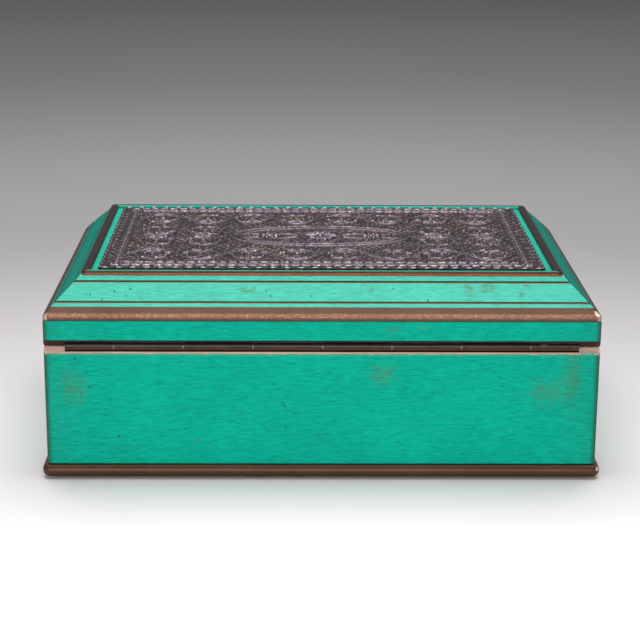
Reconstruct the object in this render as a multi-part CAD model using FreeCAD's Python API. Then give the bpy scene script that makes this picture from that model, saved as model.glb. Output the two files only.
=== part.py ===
"""A painted wooden cash box: case on a bullnosed base, hinged lid with sloped sides, till tray and box lock.

Millimetres. +Z is up and the origin is the centre of the underside. The lock faces -Y, the strip hinge +Y.
"""
import FreeCAD
import Part
import math
import os

V = FreeCAD.Vector

# Case
case_width = 236.0
case_depth = 164.0
wall = 9.0
case_wall_height = 52.0
corner_radius = 1.2

# Base board and its felt
base_felt_thickness = 0.6
base_felt_inset = 5.0
base_thickness = 5.7
base_overhang = 2.3
base_edge_radius = 2.6
base_corner_radius = 3.6
base_screw_spacing = 90.0
base_screw_length = 15.0

# Lid
parting_gap = 0.5
groove_chamfer = 2.8
lid_rail_height = 11.4
band_height = 5.3
band_inset = 3.9
slope_rise = 8.7
slope_board = 5.0
top_lip = 2.3
top_body = 2.7
top_fit = 0.1
score_width = 1.0
score_offset = 1.7
bead_width = 3.8
bead_height = 1.4
bead_round = 0.9

# Relief panel in the lid
panel_margin = 2.7
panel_plate = 0.9
panel_relief = 1.1
panel_border_width = 7.0
panel_border_inset = 3.0
scallop_pitch = 6.0
scallop_depth = 0.8
panel_fillet = 1.5
medallion_length = 84.0
medallion_breadth = 40.0
medallion_rim = 1.9
medallion_boss = 8.5
scroll_columns = 8
scroll_radius = 8.5
scroll_rib = 1.7
scroll_eye = 2.4
scroll_space = 2.0

# Linings
lining_thickness = 0.8
lining_fit = 0.3

# Strip hinge
hinge_end_margin = 9.0
knuckle_pitch = 30.0
knuckle_gap = 0.2
barrel_radius = 1.6
barrel_relief = 0.5
hinge_pin_radius = 0.8
hinge_pin_clearance = 0.05
hinge_inset = 2.0
leaf_reach = 6.7
leaf_edge_gap = 0.25
hinge_screw_line = 4.4
hinge_screw_middle = 33.4
hinge_screw_end = 16.0
hinge_screw_length = 8.0

# Countersunk slotted screws
screw_shank_radius = 0.9
screw_head_radius = 1.7
screw_slot_width = 0.4
screw_slot_depth = 0.4
screw_clearance = 0.05

# Box lock
lock_width = 44.0
lock_height = 24.0
lock_plate_thickness = 1.2
lock_selvedge_depth = 7.0
lock_flange = 4.0
lock_body_drop = 22.0
lock_cavity = 4.2
lock_sheet = 0.8
lock_fit = 0.1
lock_screw_length = 7.0
key_drop = 12.3

# Lock bolt and the hook that it holds
bolt_thickness = 1.6
bolt_throw = 5.0
bolt_bar_height = 4.6
bolt_bar_ends = (-8.0, 13.0)
bolt_arm = 3.5
bolt_finger_height = 2.2
bolt_finger_reach = 8.0
talon_play = 0.5
talon_wall_drop = 4.0
hook_stem = 3.2
hook_lip_height = 2.0
hook_clearance = 0.6
finger_clearance = 0.5

# Key and its drill pin
key_shank_radius = 2.0
key_shank_length = 14.0
key_bit_reach = 5.6
key_bit_thickness = 1.6
key_bit_width = 2.6
key_collar_radius = 3.0
key_collar_width = 1.2
key_bow_radius = 7.5
key_bow_opening = 4.8
key_bow_thickness = 2.2
key_end_gap = 0.4
drill_pin_radius = 0.9
drill_pin_length = 3.6
drill_pin_clearance = 0.06
keyhole_clearance = 0.4

# Keyhole escutcheon
escutcheon_thickness = 1.0
escutcheon_half_width = 6.5
escutcheon_half_height = 11.0
escutcheon_pin_radius = 0.5
escutcheon_pin_head = 1.0
escutcheon_pin_length = 2.2
escutcheon_pin_edge = 2.2

# Till tray
tray_fit = 0.5
tray_height = 24.0
tray_headroom = 1.3
tray_wall = 3.0
tray_floor = 2.5
tray_divider = 2.0
tray_divider_height = 16.0
tray_front_row = 56.0
tray_front_wells = 4
tray_rear_wells = 2
tray_tab_width = 14.0
tray_tab_thickness = 1.2
tray_tab_height = 14.0
tray_tab_rise = 1.5
runner_width = 5.0
runner_height = 6.0

# Levels, from the floor up
base_bottom = base_felt_thickness
base_top = base_bottom + base_thickness
case_top = base_top + case_wall_height
lid_bottom = case_top + parting_gap
rail_top = lid_bottom + lid_rail_height
band_top = rail_top + band_height
slope_top = band_top + slope_rise
lid_top = slope_top + top_lip
bead_top = lid_top + bead_height
tray_top = case_top - tray_headroom
tray_bottom = tray_top - tray_height

# Insets, from the case's faces inwards
slope_top_inset = band_inset + slope_rise
bead_inset = slope_top_inset + top_lip
bead_inner_inset = bead_inset + bead_width
panel_inset = bead_inner_inset + panel_margin
panel_root_inset = panel_inset + scallop_depth
border_outer_inset = panel_root_inset + panel_border_inset
border_inner_inset = border_outer_inset + panel_border_width

# Faces and axes
rear_face = case_depth / 2
front_face = -case_depth / 2
inner_half_width = case_width / 2 - wall
inner_half_depth = case_depth / 2 - wall
front_inner_face = front_face + wall
hinge_y = rear_face - hinge_inset
hinge_z = case_top + parting_gap / 2
hinge_length = case_width - 2 * hinge_end_margin
leaf_thickness = barrel_radius - hinge_pin_radius - hinge_pin_clearance

# Box lock places
lock_body_width = lock_width - 2 * lock_flange
lock_screw_place = (lock_width - lock_flange) / 2
plate_front = front_inner_face - lock_plate_thickness
cap_inner = plate_front - lock_cavity
cap_front = cap_inner - lock_sheet
selvedge_under = case_top - lock_plate_thickness
selvedge_front = front_inner_face - lock_selvedge_depth
lock_body_bottom = case_top - lock_body_drop
key_z = case_top - key_drop
bolt_y = (plate_front + cap_inner) / 2
bolt_bar_top = key_z - talon_wall_drop
bolt_bar_bottom = bolt_bar_top - bolt_bar_height
finger_tip = bolt_bar_ends[1] - bolt_finger_reach
hook_lip_end = finger_tip - hook_clearance
hook_stem_inner = finger_tip - bolt_throw - hook_clearance
hook_bottom = key_z + key_shank_radius + hook_clearance
hook_lip_top = hook_bottom + hook_lip_height
finger_bottom = hook_lip_top + finger_clearance
finger_top = finger_bottom + bolt_finger_height

# Allowance by which a cutting tool runs past the face that it starts from
past = 1.0

# The sides in turn, a right angle apart
SIDES = ("front", "right", "rear", "left")


def block(x0, x1, y0, y1, z0, z1):
    """A box between two corners."""
    return Part.makeBox(x1 - x0, y1 - y0, z1 - z0, V(x0, y0, z0))


def inset_block(inset, z0, z1):
    """A box whose sides lie the same inset inside the case's faces."""
    x, y = case_width / 2 - inset, case_depth / 2 - inset
    return block(-x, x, -y, y, z0, z1)


def polygon_face(points):
    return Part.Face(Part.makePolygon(list(points) + [points[0]]))


def plate_xz(points, y, thickness):
    """A flat plate of an outline in X and Z, centred on a Y plane."""
    face = polygon_face([V(x, y - thickness / 2, z) for x, z in points])
    return face.extrude(V(0, thickness, 0))


def prism_along_x(points, half_length):
    """A prism of an outline in Y and Z, centred on X = 0."""
    face = polygon_face([V(-half_length, y, z) for y, z in points])
    return face.extrude(V(2 * half_length, 0, 0))


def cylinder(radius, start, along, length):
    return Part.makeCylinder(radius, length, start, along)


def wire_of(edges):
    return Part.Wire(edges)


def line(a, b):
    return Part.LineSegment(a, b).toShape()


def arc(a, middle, b):
    return Part.Arc(a, middle, b).toShape()


# Mitred strips
def to_side(shape, side):
    """Turns a strip made along X, with Y = 0 as its outer face, to the side it belongs to."""
    reach = case_depth / 2 if side in ("front", "rear") else case_width / 2
    placed = shape.copy()
    placed.translate(V(0, -reach, 0))
    placed.rotate(V(0, 0, 0), V(0, 0, 1), 90 * SIDES.index(side))
    return placed


def side_length(side):
    return case_width if side in ("front", "rear") else case_depth


def mitred_strip(side, profile):
    """A strip along one side, mitred at both ends. The profile gives a face at X = 0 in (inset, height)."""
    half = side_length(side) / 2
    face = profile.copy()
    face.translate(V(-half, 0, 0))
    strip = face.extrude(V(2 * half, 0, 0))
    box = profile.BoundBox
    depth = box.YMax + past
    inner = half - depth
    mitre = polygon_face([V(-half, 0, 0), V(half, 0, 0), V(inner, depth, 0), V(-inner, depth, 0)])
    mitre.translate(V(0, 0, box.ZMin - past))
    wedge = mitre.extrude(V(0, 0, box.ZLength + 2 * past))
    return to_side(strip.common(wedge), side)


def profile_polygon(points):
    return polygon_face([V(0, inset, z) for inset, z in points])


def rectangle_profile(inset0, inset1, z0, z1):
    return profile_polygon([(inset0, z0), (inset1, z0), (inset1, z1), (inset0, z1)])


def band_profile():
    """Quarter-round shoulder above a short upright."""
    spring = band_top - band_inset
    diagonal = band_inset * (1 - math.sqrt(0.5))
    upright_foot, upright_head = V(0, 0, rail_top), V(0, 0, spring)
    crown = V(0, band_inset, band_top)
    inner_head, inner_foot = V(0, wall, band_top), V(0, wall, rail_top)
    edges = [
        line(upright_foot, upright_head),
        arc(upright_head, V(0, diagonal, band_top - diagonal), crown),
        line(crown, inner_head),
        line(inner_head, inner_foot),
        line(inner_foot, upright_foot),
    ]
    return Part.Face(wire_of(edges))


def slope_profile():
    return profile_polygon(
        [
            (band_inset, band_top),
            (slope_top_inset, slope_top),
            (slope_top_inset + slope_board, slope_top),
            (band_inset + slope_board, band_top),
        ]
    )


def bead_profile():
    """Flat-topped bead with both upper edges rounded."""
    foot_out, foot_in = V(0, bead_inset, lid_top), V(0, bead_inner_inset, lid_top)
    spring = bead_top - bead_round
    side_out, side_in = V(0, bead_inset, spring), V(0, bead_inner_inset, spring)
    top_out = V(0, bead_inset + bead_round, bead_top)
    top_in = V(0, bead_inner_inset - bead_round, bead_top)
    cut = bead_round * (1 - math.sqrt(0.5))
    edges = [
        line(foot_out, side_out),
        arc(side_out, V(0, bead_inset + cut, bead_top - cut), top_out),
        line(top_out, top_in),
        arc(top_in, V(0, bead_inner_inset - cut, bead_top - cut), side_in),
        line(side_in, foot_in),
        line(foot_in, foot_out),
    ]
    return Part.Face(wire_of(edges))


def score_profile(inset, z):
    """Square score, one of whose faces lies along the slope."""
    half = score_width / math.sqrt(2)
    return profile_polygon([(inset - half, z), (inset, z - half), (inset + half, z), (inset, z + half)])


def rounded_corners(z0, z1):
    """The upright prism that rounds the box's four corners."""
    prism = inset_block(0, z0, z1)
    upright = [e for e in prism.Edges if abs(e.Vertexes[0].Z - e.Vertexes[1].Z) > (z1 - z0) / 2]
    return prism.makeFillet(corner_radius, upright)


# Screws
def wood_screw(length, clearance=0.0):
    """A countersunk screw that points down from its head at the origin, or with a clearance its hole."""
    shank, head = screw_shank_radius + clearance, screw_head_radius + clearance
    cone = head - shank
    tip = length - 2 * screw_shank_radius
    points = [V(0, 0, 0), V(head, 0, 0), V(shank, 0, -cone), V(shank, 0, -tip), V(0, 0, -length - clearance)]
    screw = polygon_face(points).revolve(V(0, 0, 0), V(0, 0, 1), 360)
    if clearance:
        return screw.fuse(cylinder(head, V(0, 0, 0), V(0, 0, 1), past))
    slot = block(-head, head, -screw_slot_width / 2, screw_slot_width / 2, -screw_slot_depth, past)
    return screw.cut(slot)


def placed_screws(places, length, clearance=0.0):
    """Screws at places, each a head point and the direction in which its tip points."""
    screws = []
    for head, direction in places:
        screw = wood_screw(length, clearance)
        screw.Placement = FreeCAD.Placement(head, FreeCAD.Rotation(V(0, 0, -1), direction))
        screws.append(screw)
    return Part.makeCompound(screws)


def base_screw_places():
    mid = wall / 2
    near, far = front_face + mid, rear_face - mid
    side = case_width / 2 - mid
    along = [(x, y) for y in (near, far) for x in (-base_screw_spacing, 0, base_screw_spacing)]
    across = [(x, y) for x in (-side, side) for y in (-base_screw_spacing / 2, base_screw_spacing / 2)]
    return [(V(x, y, base_bottom), V(0, 0, 1)) for x, y in along + across]


def hinge_screw_xs():
    outer = hinge_length / 2 - hinge_screw_end
    return [-outer, -hinge_screw_middle, hinge_screw_middle, outer]


def case_hinge_screw_places():
    y, z = hinge_y - hinge_screw_line, hinge_z - barrel_radius + leaf_thickness
    return [(V(x, y, z), V(0, 0, -1)) for x in hinge_screw_xs()]


def lid_hinge_screw_places():
    y, z = hinge_y - hinge_screw_line, hinge_z + barrel_radius - leaf_thickness
    return [(V(x, y, z), V(0, 0, 1)) for x in hinge_screw_xs()]


def lock_screw_places():
    """Two through the selvedge into the wall's top, and two through the plate's lower corners."""
    selvedge_y = (selvedge_front + plate_front) / 2
    plate_z = case_top - lock_height + screw_head_radius * 2
    downwards = [(V(x, selvedge_y, case_top), V(0, 0, -1)) for x in (-lock_screw_place, lock_screw_place)]
    forwards = [(V(x, front_inner_face, plate_z), V(0, -1, 0)) for x in (-lock_screw_place, lock_screw_place)]
    return downwards + forwards


def hook_plate_screw_places():
    y = (selvedge_front + front_inner_face) / 2
    return [(V(x, y, lid_bottom), V(0, 0, 1)) for x in (-lock_screw_place, lock_screw_place)]


# Cuts shared by the case and the lid
def rear_groove():
    """The V between the chamfered rear edges of the case and the lid."""
    root = rear_face - groove_chamfer
    points = [
        (root, case_top),
        (rear_face + past, case_top - groove_chamfer - past),
        (rear_face + past, lid_bottom + groove_chamfer + past),
        (root, lid_bottom),
    ]
    return prism_along_x(points, case_width / 2 + past)


def hinge_mortise():
    """The bed of the hinge leaves, with a cove that clears the barrel."""
    half = hinge_length / 2
    front = hinge_y - leaf_reach
    bed = block(-half, half, front, rear_face + past, hinge_z - barrel_radius, hinge_z + barrel_radius)
    cove = cylinder(barrel_radius + barrel_relief, V(-half, hinge_y, hinge_z), V(1, 0, 0), hinge_length)
    return bed.fuse(cove)


def keyhole(y0, y1, clearance):
    """A round hole over a slot, right through from y0 to y1."""
    hole = cylinder(key_shank_radius + clearance, V(0, y0, key_z), V(0, 1, 0), y1 - y0)
    half = key_bit_thickness / 2 + clearance
    slot = block(-half, half, y0, y1, key_z - key_bit_reach - clearance, key_z)
    return hole.fuse(slot)


# Case
def base_felt():
    return inset_block(base_felt_inset - base_overhang, 0, base_felt_thickness)


def base_board():
    board = inset_block(-base_overhang, base_bottom, base_top)
    upright = [e for e in board.Edges if abs(e.Vertexes[0].Z - e.Vertexes[1].Z) > base_thickness / 2]
    board = board.makeFillet(base_corner_radius, upright)
    rims = [e for e in board.Edges if abs(e.Vertexes[0].Z - e.Vertexes[-1].Z) < base_thickness / 2]
    board = board.makeFillet(min(base_edge_radius, 0.48 * base_thickness), rims)
    return board.cut(placed_screws(base_screw_places(), base_screw_length, screw_clearance))


def case_wall(side):
    strip = mitred_strip(side, rectangle_profile(0, wall, base_top, case_top))
    strip = strip.common(rounded_corners(base_top, case_top))
    strip = strip.cut(placed_screws(base_screw_places(), base_screw_length, screw_clearance))
    if side == "front":
        return strip.cut(lock_bed()).cut(escutcheon_pin_holes())
    strip = strip.cut(rear_groove())
    if side == "rear":
        strip = strip.cut(hinge_mortise())
        strip = strip.cut(placed_screws(case_hinge_screw_places(), hinge_screw_length, screw_clearance))
    return strip


def floor_lining():
    return inset_block(wall + lining_fit, base_top, base_top + lining_thickness)


def tray_runner(side):
    strip = block(-inner_half_depth + lining_fit, inner_half_depth - lining_fit,
                  wall, wall + runner_width, tray_bottom - runner_height, tray_bottom)
    return to_side(strip, side)


# Strip hinge
def knuckle_spans():
    """The stretches of the barrel from end to end, each with the gap to its neighbours taken off."""
    half = hinge_length / 2
    count = math.ceil(half / knuckle_pitch)
    inner = [k * knuckle_pitch for k in range(-count + 1, count) if abs(k * knuckle_pitch) < half]
    joints = [-half] + inner + [half]
    return [(a + knuckle_gap / 2, b - knuckle_gap / 2) for a, b in zip(joints[:-1], joints[1:])]


def hinge_leaf(first_knuckle, direction):
    """A leaf with every second knuckle; direction -1 beds it on the case and +1 on the lid."""
    half = hinge_length / 2 - knuckle_gap / 2
    outer = hinge_z + direction * barrel_radius
    inner = outer - direction * leaf_thickness
    z0, z1 = min(outer, inner), max(outer, inner)
    leaf_front = hinge_y - leaf_reach + leaf_edge_gap
    leaf_rear = hinge_y - barrel_radius - leaf_edge_gap
    leaf = block(-half, half, leaf_front, leaf_rear, z0, z1)
    bore = hinge_pin_radius + hinge_pin_clearance
    for x0, x1 in knuckle_spans()[first_knuckle::2]:
        start = V(x0, hinge_y, hinge_z)
        tongue = block(x0, x1, hinge_y - barrel_radius - 2 * leaf_edge_gap, hinge_y, z0, z1)
        knuckle = cylinder(barrel_radius, start, V(1, 0, 0), x1 - x0).fuse(tongue)
        leaf = leaf.fuse(knuckle.cut(cylinder(bore, start, V(1, 0, 0), x1 - x0)))
    return leaf.removeSplitter()


def hinge_case_leaf():
    holes = placed_screws(case_hinge_screw_places(), hinge_screw_length, screw_clearance)
    return hinge_leaf(0, -1).cut(holes)


def hinge_lid_leaf():
    holes = placed_screws(lid_hinge_screw_places(), hinge_screw_length, screw_clearance)
    return hinge_leaf(1, 1).cut(holes)


def hinge_pin():
    half = hinge_length / 2 - knuckle_gap / 2
    return cylinder(hinge_pin_radius, V(-half, hinge_y, hinge_z), V(1, 0, 0), 2 * half)


# Box lock
def lock_bed():
    """What is cut from the front wall for the lock, its screws and the key."""
    half, body = lock_width / 2, lock_body_width / 2 + lock_fit
    plate = block(-half, half, plate_front, front_inner_face + past, case_top - lock_height, case_top + past)
    selvedge = block(-half, half, selvedge_front, plate_front + past, selvedge_under, case_top + past)
    cavity = block(-body, body, cap_front - lock_fit, plate_front + past,
                   lock_body_bottom - lock_fit, case_top)
    bed = plate.fuse([selvedge, cavity, keyhole(front_face - past, plate_front, keyhole_clearance)])
    return bed.fuse(placed_screws(lock_screw_places(), lock_screw_length, screw_clearance).Solids)


def hook_slot():
    """The slot in the selvedge that the lid's hook drops through."""
    return block(hook_stem_inner - hook_stem - hook_clearance, hook_lip_end + hook_clearance,
                 bolt_y - bolt_thickness / 2 - hook_clearance, bolt_y + bolt_thickness / 2 + hook_clearance,
                 selvedge_under - past, case_top + past)


def lock_plate():
    """Back plate and selvedge, one bent plate."""
    half = lock_width / 2
    plate = block(-half, half, plate_front, front_inner_face, case_top - lock_height, case_top)
    selvedge = block(-half, half, selvedge_front, plate_front, selvedge_under, case_top)
    bent = plate.fuse(selvedge).removeSplitter().cut(hook_slot())
    return bent.cut(placed_screws(lock_screw_places(), lock_screw_length, screw_clearance))


def lock_cap():
    """The pan that closes the works, open at the top under the selvedge."""
    half = lock_body_width / 2
    pan = block(-half, half, cap_front, plate_front, lock_body_bottom, selvedge_under)
    hollow = block(-half + lock_sheet, half - lock_sheet, cap_inner, plate_front,
                   lock_body_bottom + lock_sheet, selvedge_under)
    return pan.cut(hollow).cut(keyhole(cap_front - past, cap_inner + past, keyhole_clearance))


def lock_drill_pin():
    return cylinder(drill_pin_radius, V(0, plate_front, key_z), V(0, -1, 0), drill_pin_length)


def lock_spring():
    """A bent leaf, held in the pan's left wall, that presses on the bolt's bar."""
    root = -lock_body_width / 2 + lock_sheet
    tip = bolt_bar_ends[0] + past
    foot = bolt_bar_top + finger_clearance / 2
    root_z = key_z
    points = [(root, root_z), (root + lock_sheet, root_z), (tip, foot + lock_sheet / 2), (tip, foot),
              (tip - lock_sheet, foot), (root, root_z - lock_sheet)]
    return plate_xz(points, bolt_y, bolt_thickness)


def lock_bolt():
    """A bar with the talon that the key turns in, an arm, and the finger that slides over the hook's lip."""
    left, right = bolt_bar_ends
    talon_half = key_bit_thickness / 2 + talon_play
    talon_floor = key_z - key_bit_reach - talon_play
    points = [
        (left, bolt_bar_bottom),
        (right, bolt_bar_bottom),
        (right, finger_top),
        (finger_tip, finger_top),
        (finger_tip, finger_bottom),
        (right - bolt_arm, finger_bottom),
        (right - bolt_arm, bolt_bar_top),
        (talon_half, bolt_bar_top),
        (talon_half, talon_floor),
        (-talon_half, talon_floor),
        (-talon_half, bolt_bar_top),
        (left, bolt_bar_top),
    ]
    return plate_xz(points, bolt_y, bolt_thickness)


def hook_plate_bed():
    half = lock_width / 2
    return block(-half, half, selvedge_front, front_inner_face + past, lid_bottom - past,
                 lid_bottom + lock_plate_thickness)


def hook_plate():
    """The plate under the lid's front rail with the hook that the bolt holds."""
    half = lock_width / 2
    plate_top = lid_bottom + lock_plate_thickness
    plate = block(-half, half, selvedge_front, front_inner_face, lid_bottom, plate_top)
    stem_outer = hook_stem_inner - hook_stem
    points = [
        (stem_outer, lid_bottom),
        (hook_stem_inner, lid_bottom),
        (hook_stem_inner, hook_lip_top),
        (hook_lip_end, hook_lip_top),
        (hook_lip_end, hook_bottom),
        (stem_outer, hook_bottom),
    ]
    hooked = plate.fuse(plate_xz(points, bolt_y, bolt_thickness)).removeSplitter()
    return hooked.cut(placed_screws(hook_plate_screw_places(), lock_screw_length, screw_clearance))


def key():
    """A barrel key: bored shank, bit, collar and ring bow, in the lock with its bit down."""
    inner_end = plate_front - key_end_gap
    outer_end = front_face - escutcheon_thickness - key_shank_length
    towards_bow = V(0, -1, 0)
    shank = cylinder(key_shank_radius, V(0, inner_end, key_z), towards_bow, inner_end - outer_end)
    collar_y = front_face - escutcheon_thickness - finger_clearance
    collar = cylinder(key_collar_radius, V(0, collar_y, key_z), towards_bow, key_collar_width)
    half = key_bit_thickness / 2
    bit = block(-half, half, bolt_y - key_bit_width / 2, bolt_y + key_bit_width / 2,
                key_z - key_bit_reach, key_z - key_shank_radius / 2)
    bow_centre = V(-key_bow_thickness / 2, outer_end - key_bow_opening, key_z)
    bow = cylinder(key_bow_radius, bow_centre, V(1, 0, 0), key_bow_thickness)
    bow = bow.makeFillet(key_bow_thickness / 4, bow.Edges[:1] + bow.Edges[2:])
    whole = shank.fuse([collar, bit, bow]).removeSplitter()
    eye = cylinder(key_bow_opening, bow_centre - V(past, 0, 0), V(1, 0, 0), key_bow_thickness + 2 * past)
    bore_end = V(0, inner_end + past, key_z)
    bore = cylinder(drill_pin_radius + drill_pin_clearance, bore_end, towards_bow, drill_pin_length + past)
    return whole.cut(eye).cut(bore)


# Escutcheon
def escutcheon_pin_zs():
    reach = escutcheon_half_height - escutcheon_pin_edge
    middle = key_z - key_shank_radius
    return [middle - reach, middle + reach]


def escutcheon_pin_holes():
    radius = escutcheon_pin_radius + screw_clearance
    depth = escutcheon_thickness + escutcheon_pin_length + screw_clearance
    start = front_face - escutcheon_thickness
    holes = [cylinder(radius, V(0, start, z), V(0, 1, 0), depth) for z in escutcheon_pin_zs()]
    return Part.makeCompound(holes)


def keyhole_escutcheon():
    middle = key_z - key_shank_radius
    outline = Part.Ellipse(V(0, 0, 0), escutcheon_half_height, escutcheon_half_width).toShape()
    plate = Part.Face(Part.Wire([outline])).extrude(V(0, 0, escutcheon_thickness))
    upright = FreeCAD.Rotation(V(0, 0, 1), V(1, 0, 0), V(0, -1, 0))
    plate.Placement = FreeCAD.Placement(V(0, front_face, middle), upright)
    opening = keyhole(front_face - escutcheon_thickness - past, front_face + past, keyhole_clearance)
    return plate.cut(opening).cut(escutcheon_pin_holes())


def escutcheon_pins():
    pins = []
    face = front_face - escutcheon_thickness
    for z in escutcheon_pin_zs():
        shank = cylinder(escutcheon_pin_radius, V(0, face, z), V(0, 1, 0),
                         escutcheon_thickness + escutcheon_pin_length)
        dome = Part.makeSphere(escutcheon_pin_head, V(0, face, z))
        outside = block(-escutcheon_pin_head, escutcheon_pin_head, face - escutcheon_pin_head, face,
                        z - escutcheon_pin_head, z + escutcheon_pin_head)
        pins.append(shank.fuse(dome.common(outside)).removeSplitter())
    return Part.makeCompound(pins)


# Lid
def lid_rail(side):
    strip = mitred_strip(side, rectangle_profile(0, wall, lid_bottom, rail_top))
    strip = strip.common(rounded_corners(lid_bottom, rail_top))
    if side == "front":
        strip = strip.cut(hook_plate_bed())
        return strip.cut(placed_screws(hook_plate_screw_places(), lock_screw_length, screw_clearance))
    strip = strip.cut(rear_groove())
    if side == "rear":
        strip = strip.cut(hinge_mortise())
        strip = strip.cut(placed_screws(lid_hinge_screw_places(), hinge_screw_length, screw_clearance))
    return strip


def lid_band(side):
    return mitred_strip(side, band_profile()).common(rounded_corners(rail_top, band_top))


def lid_slope(side):
    strip = mitred_strip(side, slope_profile())
    lower = score_profile(band_inset + score_offset, band_top + score_offset)
    upper = score_profile(slope_top_inset, slope_top)
    return strip.cut(mitred_strip(side, lower)).cut(mitred_strip(side, upper))


def lid_top_board():
    """A board with a bevelled lip that lies on the slopes and a body that drops between them."""
    def outline(inset, z):
        x, y = case_width / 2 - inset, case_depth / 2 - inset
        return Part.makePolygon([V(-x, -y, z), V(x, -y, z), V(x, y, z), V(-x, y, z), V(-x, -y, z)])
    lip = Part.makeLoft([outline(slope_top_inset, slope_top), outline(bead_inset, lid_top)], True, True)
    body = inset_block(slope_top_inset + slope_board + top_fit, slope_top - top_body, slope_top)
    board = lip.fuse(body).removeSplitter()
    for side in SIDES:
        board = board.cut(mitred_strip(side, score_profile(slope_top_inset, slope_top)))
    return board


def lid_lining():
    under = slope_top - top_body
    return inset_block(slope_top_inset + slope_board + top_fit + lining_fit, under - lining_thickness, under)


def top_bead(side):
    return mitred_strip(side, bead_profile())


# Relief panel
def scalloped_edge(start, end, outward):
    """Arcs that bulge outwards, side by side from start to end."""
    length = (end - start).Length
    count = max(2, round(length / scallop_pitch))
    step = (end - start) * (1 / count)
    edges = []
    for k in range(count):
        a, b = start + step * k, start + step * (k + 1)
        edges.append(arc(a, (a + b) * 0.5 + outward * scallop_depth, b))
    return edges


def panel_frame(outer_inset, inner_inset, z0, z1):
    """A flat frame between two insets."""
    return inset_block(outer_inset, z0, z1).cut(inset_block(inner_inset, z0, z1))


def oval(half_length, half_breadth, z0, z1):
    edge = Part.Ellipse(V(0, 0, z0), half_length, half_breadth).toShape()
    return Part.Face(Part.Wire([edge])).extrude(V(0, 0, z1 - z0))


def relief_scrolls(z0, z1):
    """Rings with a boss in each eye: two full rows and, beside the medallion, two short ones."""
    half_width, half_depth = case_width / 2 - border_inner_inset, case_depth / 2 - border_inner_inset
    pitch = 2 * half_width / scroll_columns
    outer_row = (medallion_breadth / 2 + half_depth) / 2
    inner_row = scroll_radius + scroll_space / 2
    scrolls = []
    for k in range(scroll_columns):
        x = pitch * (k + 0.5) - half_width
        rows = [-outer_row, outer_row]
        if abs(x) > medallion_length / 2 + scroll_radius:
            rows += [-inner_row, inner_row]
        for y in rows:
            foot, up, rise = V(x, y, z0), V(0, 0, 1), z1 - z0
            hollow = cylinder(scroll_radius - scroll_rib, foot, up, rise)
            ring = cylinder(scroll_radius, foot, up, rise).cut(hollow)
            scrolls += [ring, cylinder(scroll_eye, foot, up, rise)]
    return scrolls


def relief_panel():
    """A thin plate with a scalloped edge, raised fillets, scrolls and an oval medallion with a boss."""
    x, y = case_width / 2 - panel_root_inset, case_depth / 2 - panel_root_inset
    corners = [V(-x, -y, lid_top), V(x, -y, lid_top), V(x, y, lid_top), V(-x, y, lid_top)]
    outwards = [V(0, -1, 0), V(1, 0, 0), V(0, 1, 0), V(-1, 0, 0)]
    edges = []
    for k, outward in enumerate(outwards):
        edges += scalloped_edge(corners[k], corners[(k + 1) % len(corners)], outward)
    plate = Part.Face(wire_of(edges)).extrude(V(0, 0, panel_plate))
    face, crest = lid_top + panel_plate, lid_top + panel_plate + panel_relief
    fillets = [panel_frame(border_outer_inset, border_outer_inset + panel_fillet, face, crest),
               panel_frame(border_inner_inset - panel_fillet, border_inner_inset, face, crest)]
    half_length, half_breadth = medallion_length / 2, medallion_breadth / 2
    hollow = oval(half_length - medallion_rim, half_breadth - medallion_rim, face, crest)
    rim = oval(half_length, half_breadth, face, crest).cut(hollow)
    boss = cylinder(medallion_boss, V(0, 0, face), V(0, 0, 1), panel_relief)
    return plate.fuse(fillets + [rim, boss] + relief_scrolls(face, crest)).removeSplitter()


# Till tray
tray_half_width = inner_half_width - tray_fit
tray_half_depth = inner_half_depth - tray_fit
tray_walls_bottom = tray_bottom + tray_floor
tray_well_half_width = tray_half_width - tray_wall
tray_well_front = -tray_half_depth + tray_wall
tray_well_rear = tray_half_depth - tray_wall
tray_split = tray_well_front + tray_front_row
tray_divider_top = tray_walls_bottom + tray_divider_height


def tray_floor_board():
    return block(-tray_half_width, tray_half_width, -tray_half_depth, tray_half_depth,
                 tray_bottom, tray_walls_bottom)


def tray_long_wall(y0, y1):
    return block(-tray_half_width, tray_half_width, y0, y1, tray_walls_bottom, tray_top)


def tray_end_wall(x0, x1):
    return block(x0, x1, tray_well_front, tray_well_rear, tray_walls_bottom, tray_top)


def cross_dividers(wells, y0, y1):
    """Upright boards that share a row of the tray evenly between its wells."""
    pitch = (2 * tray_well_half_width + tray_divider) / wells
    starts = [-tray_well_half_width - tray_divider + pitch * k for k in range(1, wells)]
    return [block(x, x + tray_divider, y0, y1, tray_walls_bottom, tray_divider_top) for x in starts]


def tray_dividers():
    long_divider = block(-tray_well_half_width, tray_well_half_width, tray_split, tray_split + tray_divider,
                         tray_walls_bottom, tray_divider_top)
    front = cross_dividers(tray_front_wells, tray_well_front, tray_split)
    rear = cross_dividers(tray_rear_wells, tray_split + tray_divider, tray_well_rear)
    return Part.makeCompound([long_divider] + front + rear)


def tray_tabs():
    """Leather lifting tabs on the end walls of the rear row."""
    middle = (tray_split + tray_divider + tray_well_rear) / 2
    top = tray_top + tray_tab_rise
    tabs = []
    for x0, x1 in ((-tray_well_half_width, -tray_well_half_width + tray_tab_thickness),
                   (tray_well_half_width - tray_tab_thickness, tray_well_half_width)):
        tabs.append(block(x0, x1, middle - tray_tab_width / 2, middle + tray_tab_width / 2,
                          tray_top - tray_tab_height, top))
    return Part.makeCompound(tabs)


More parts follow.
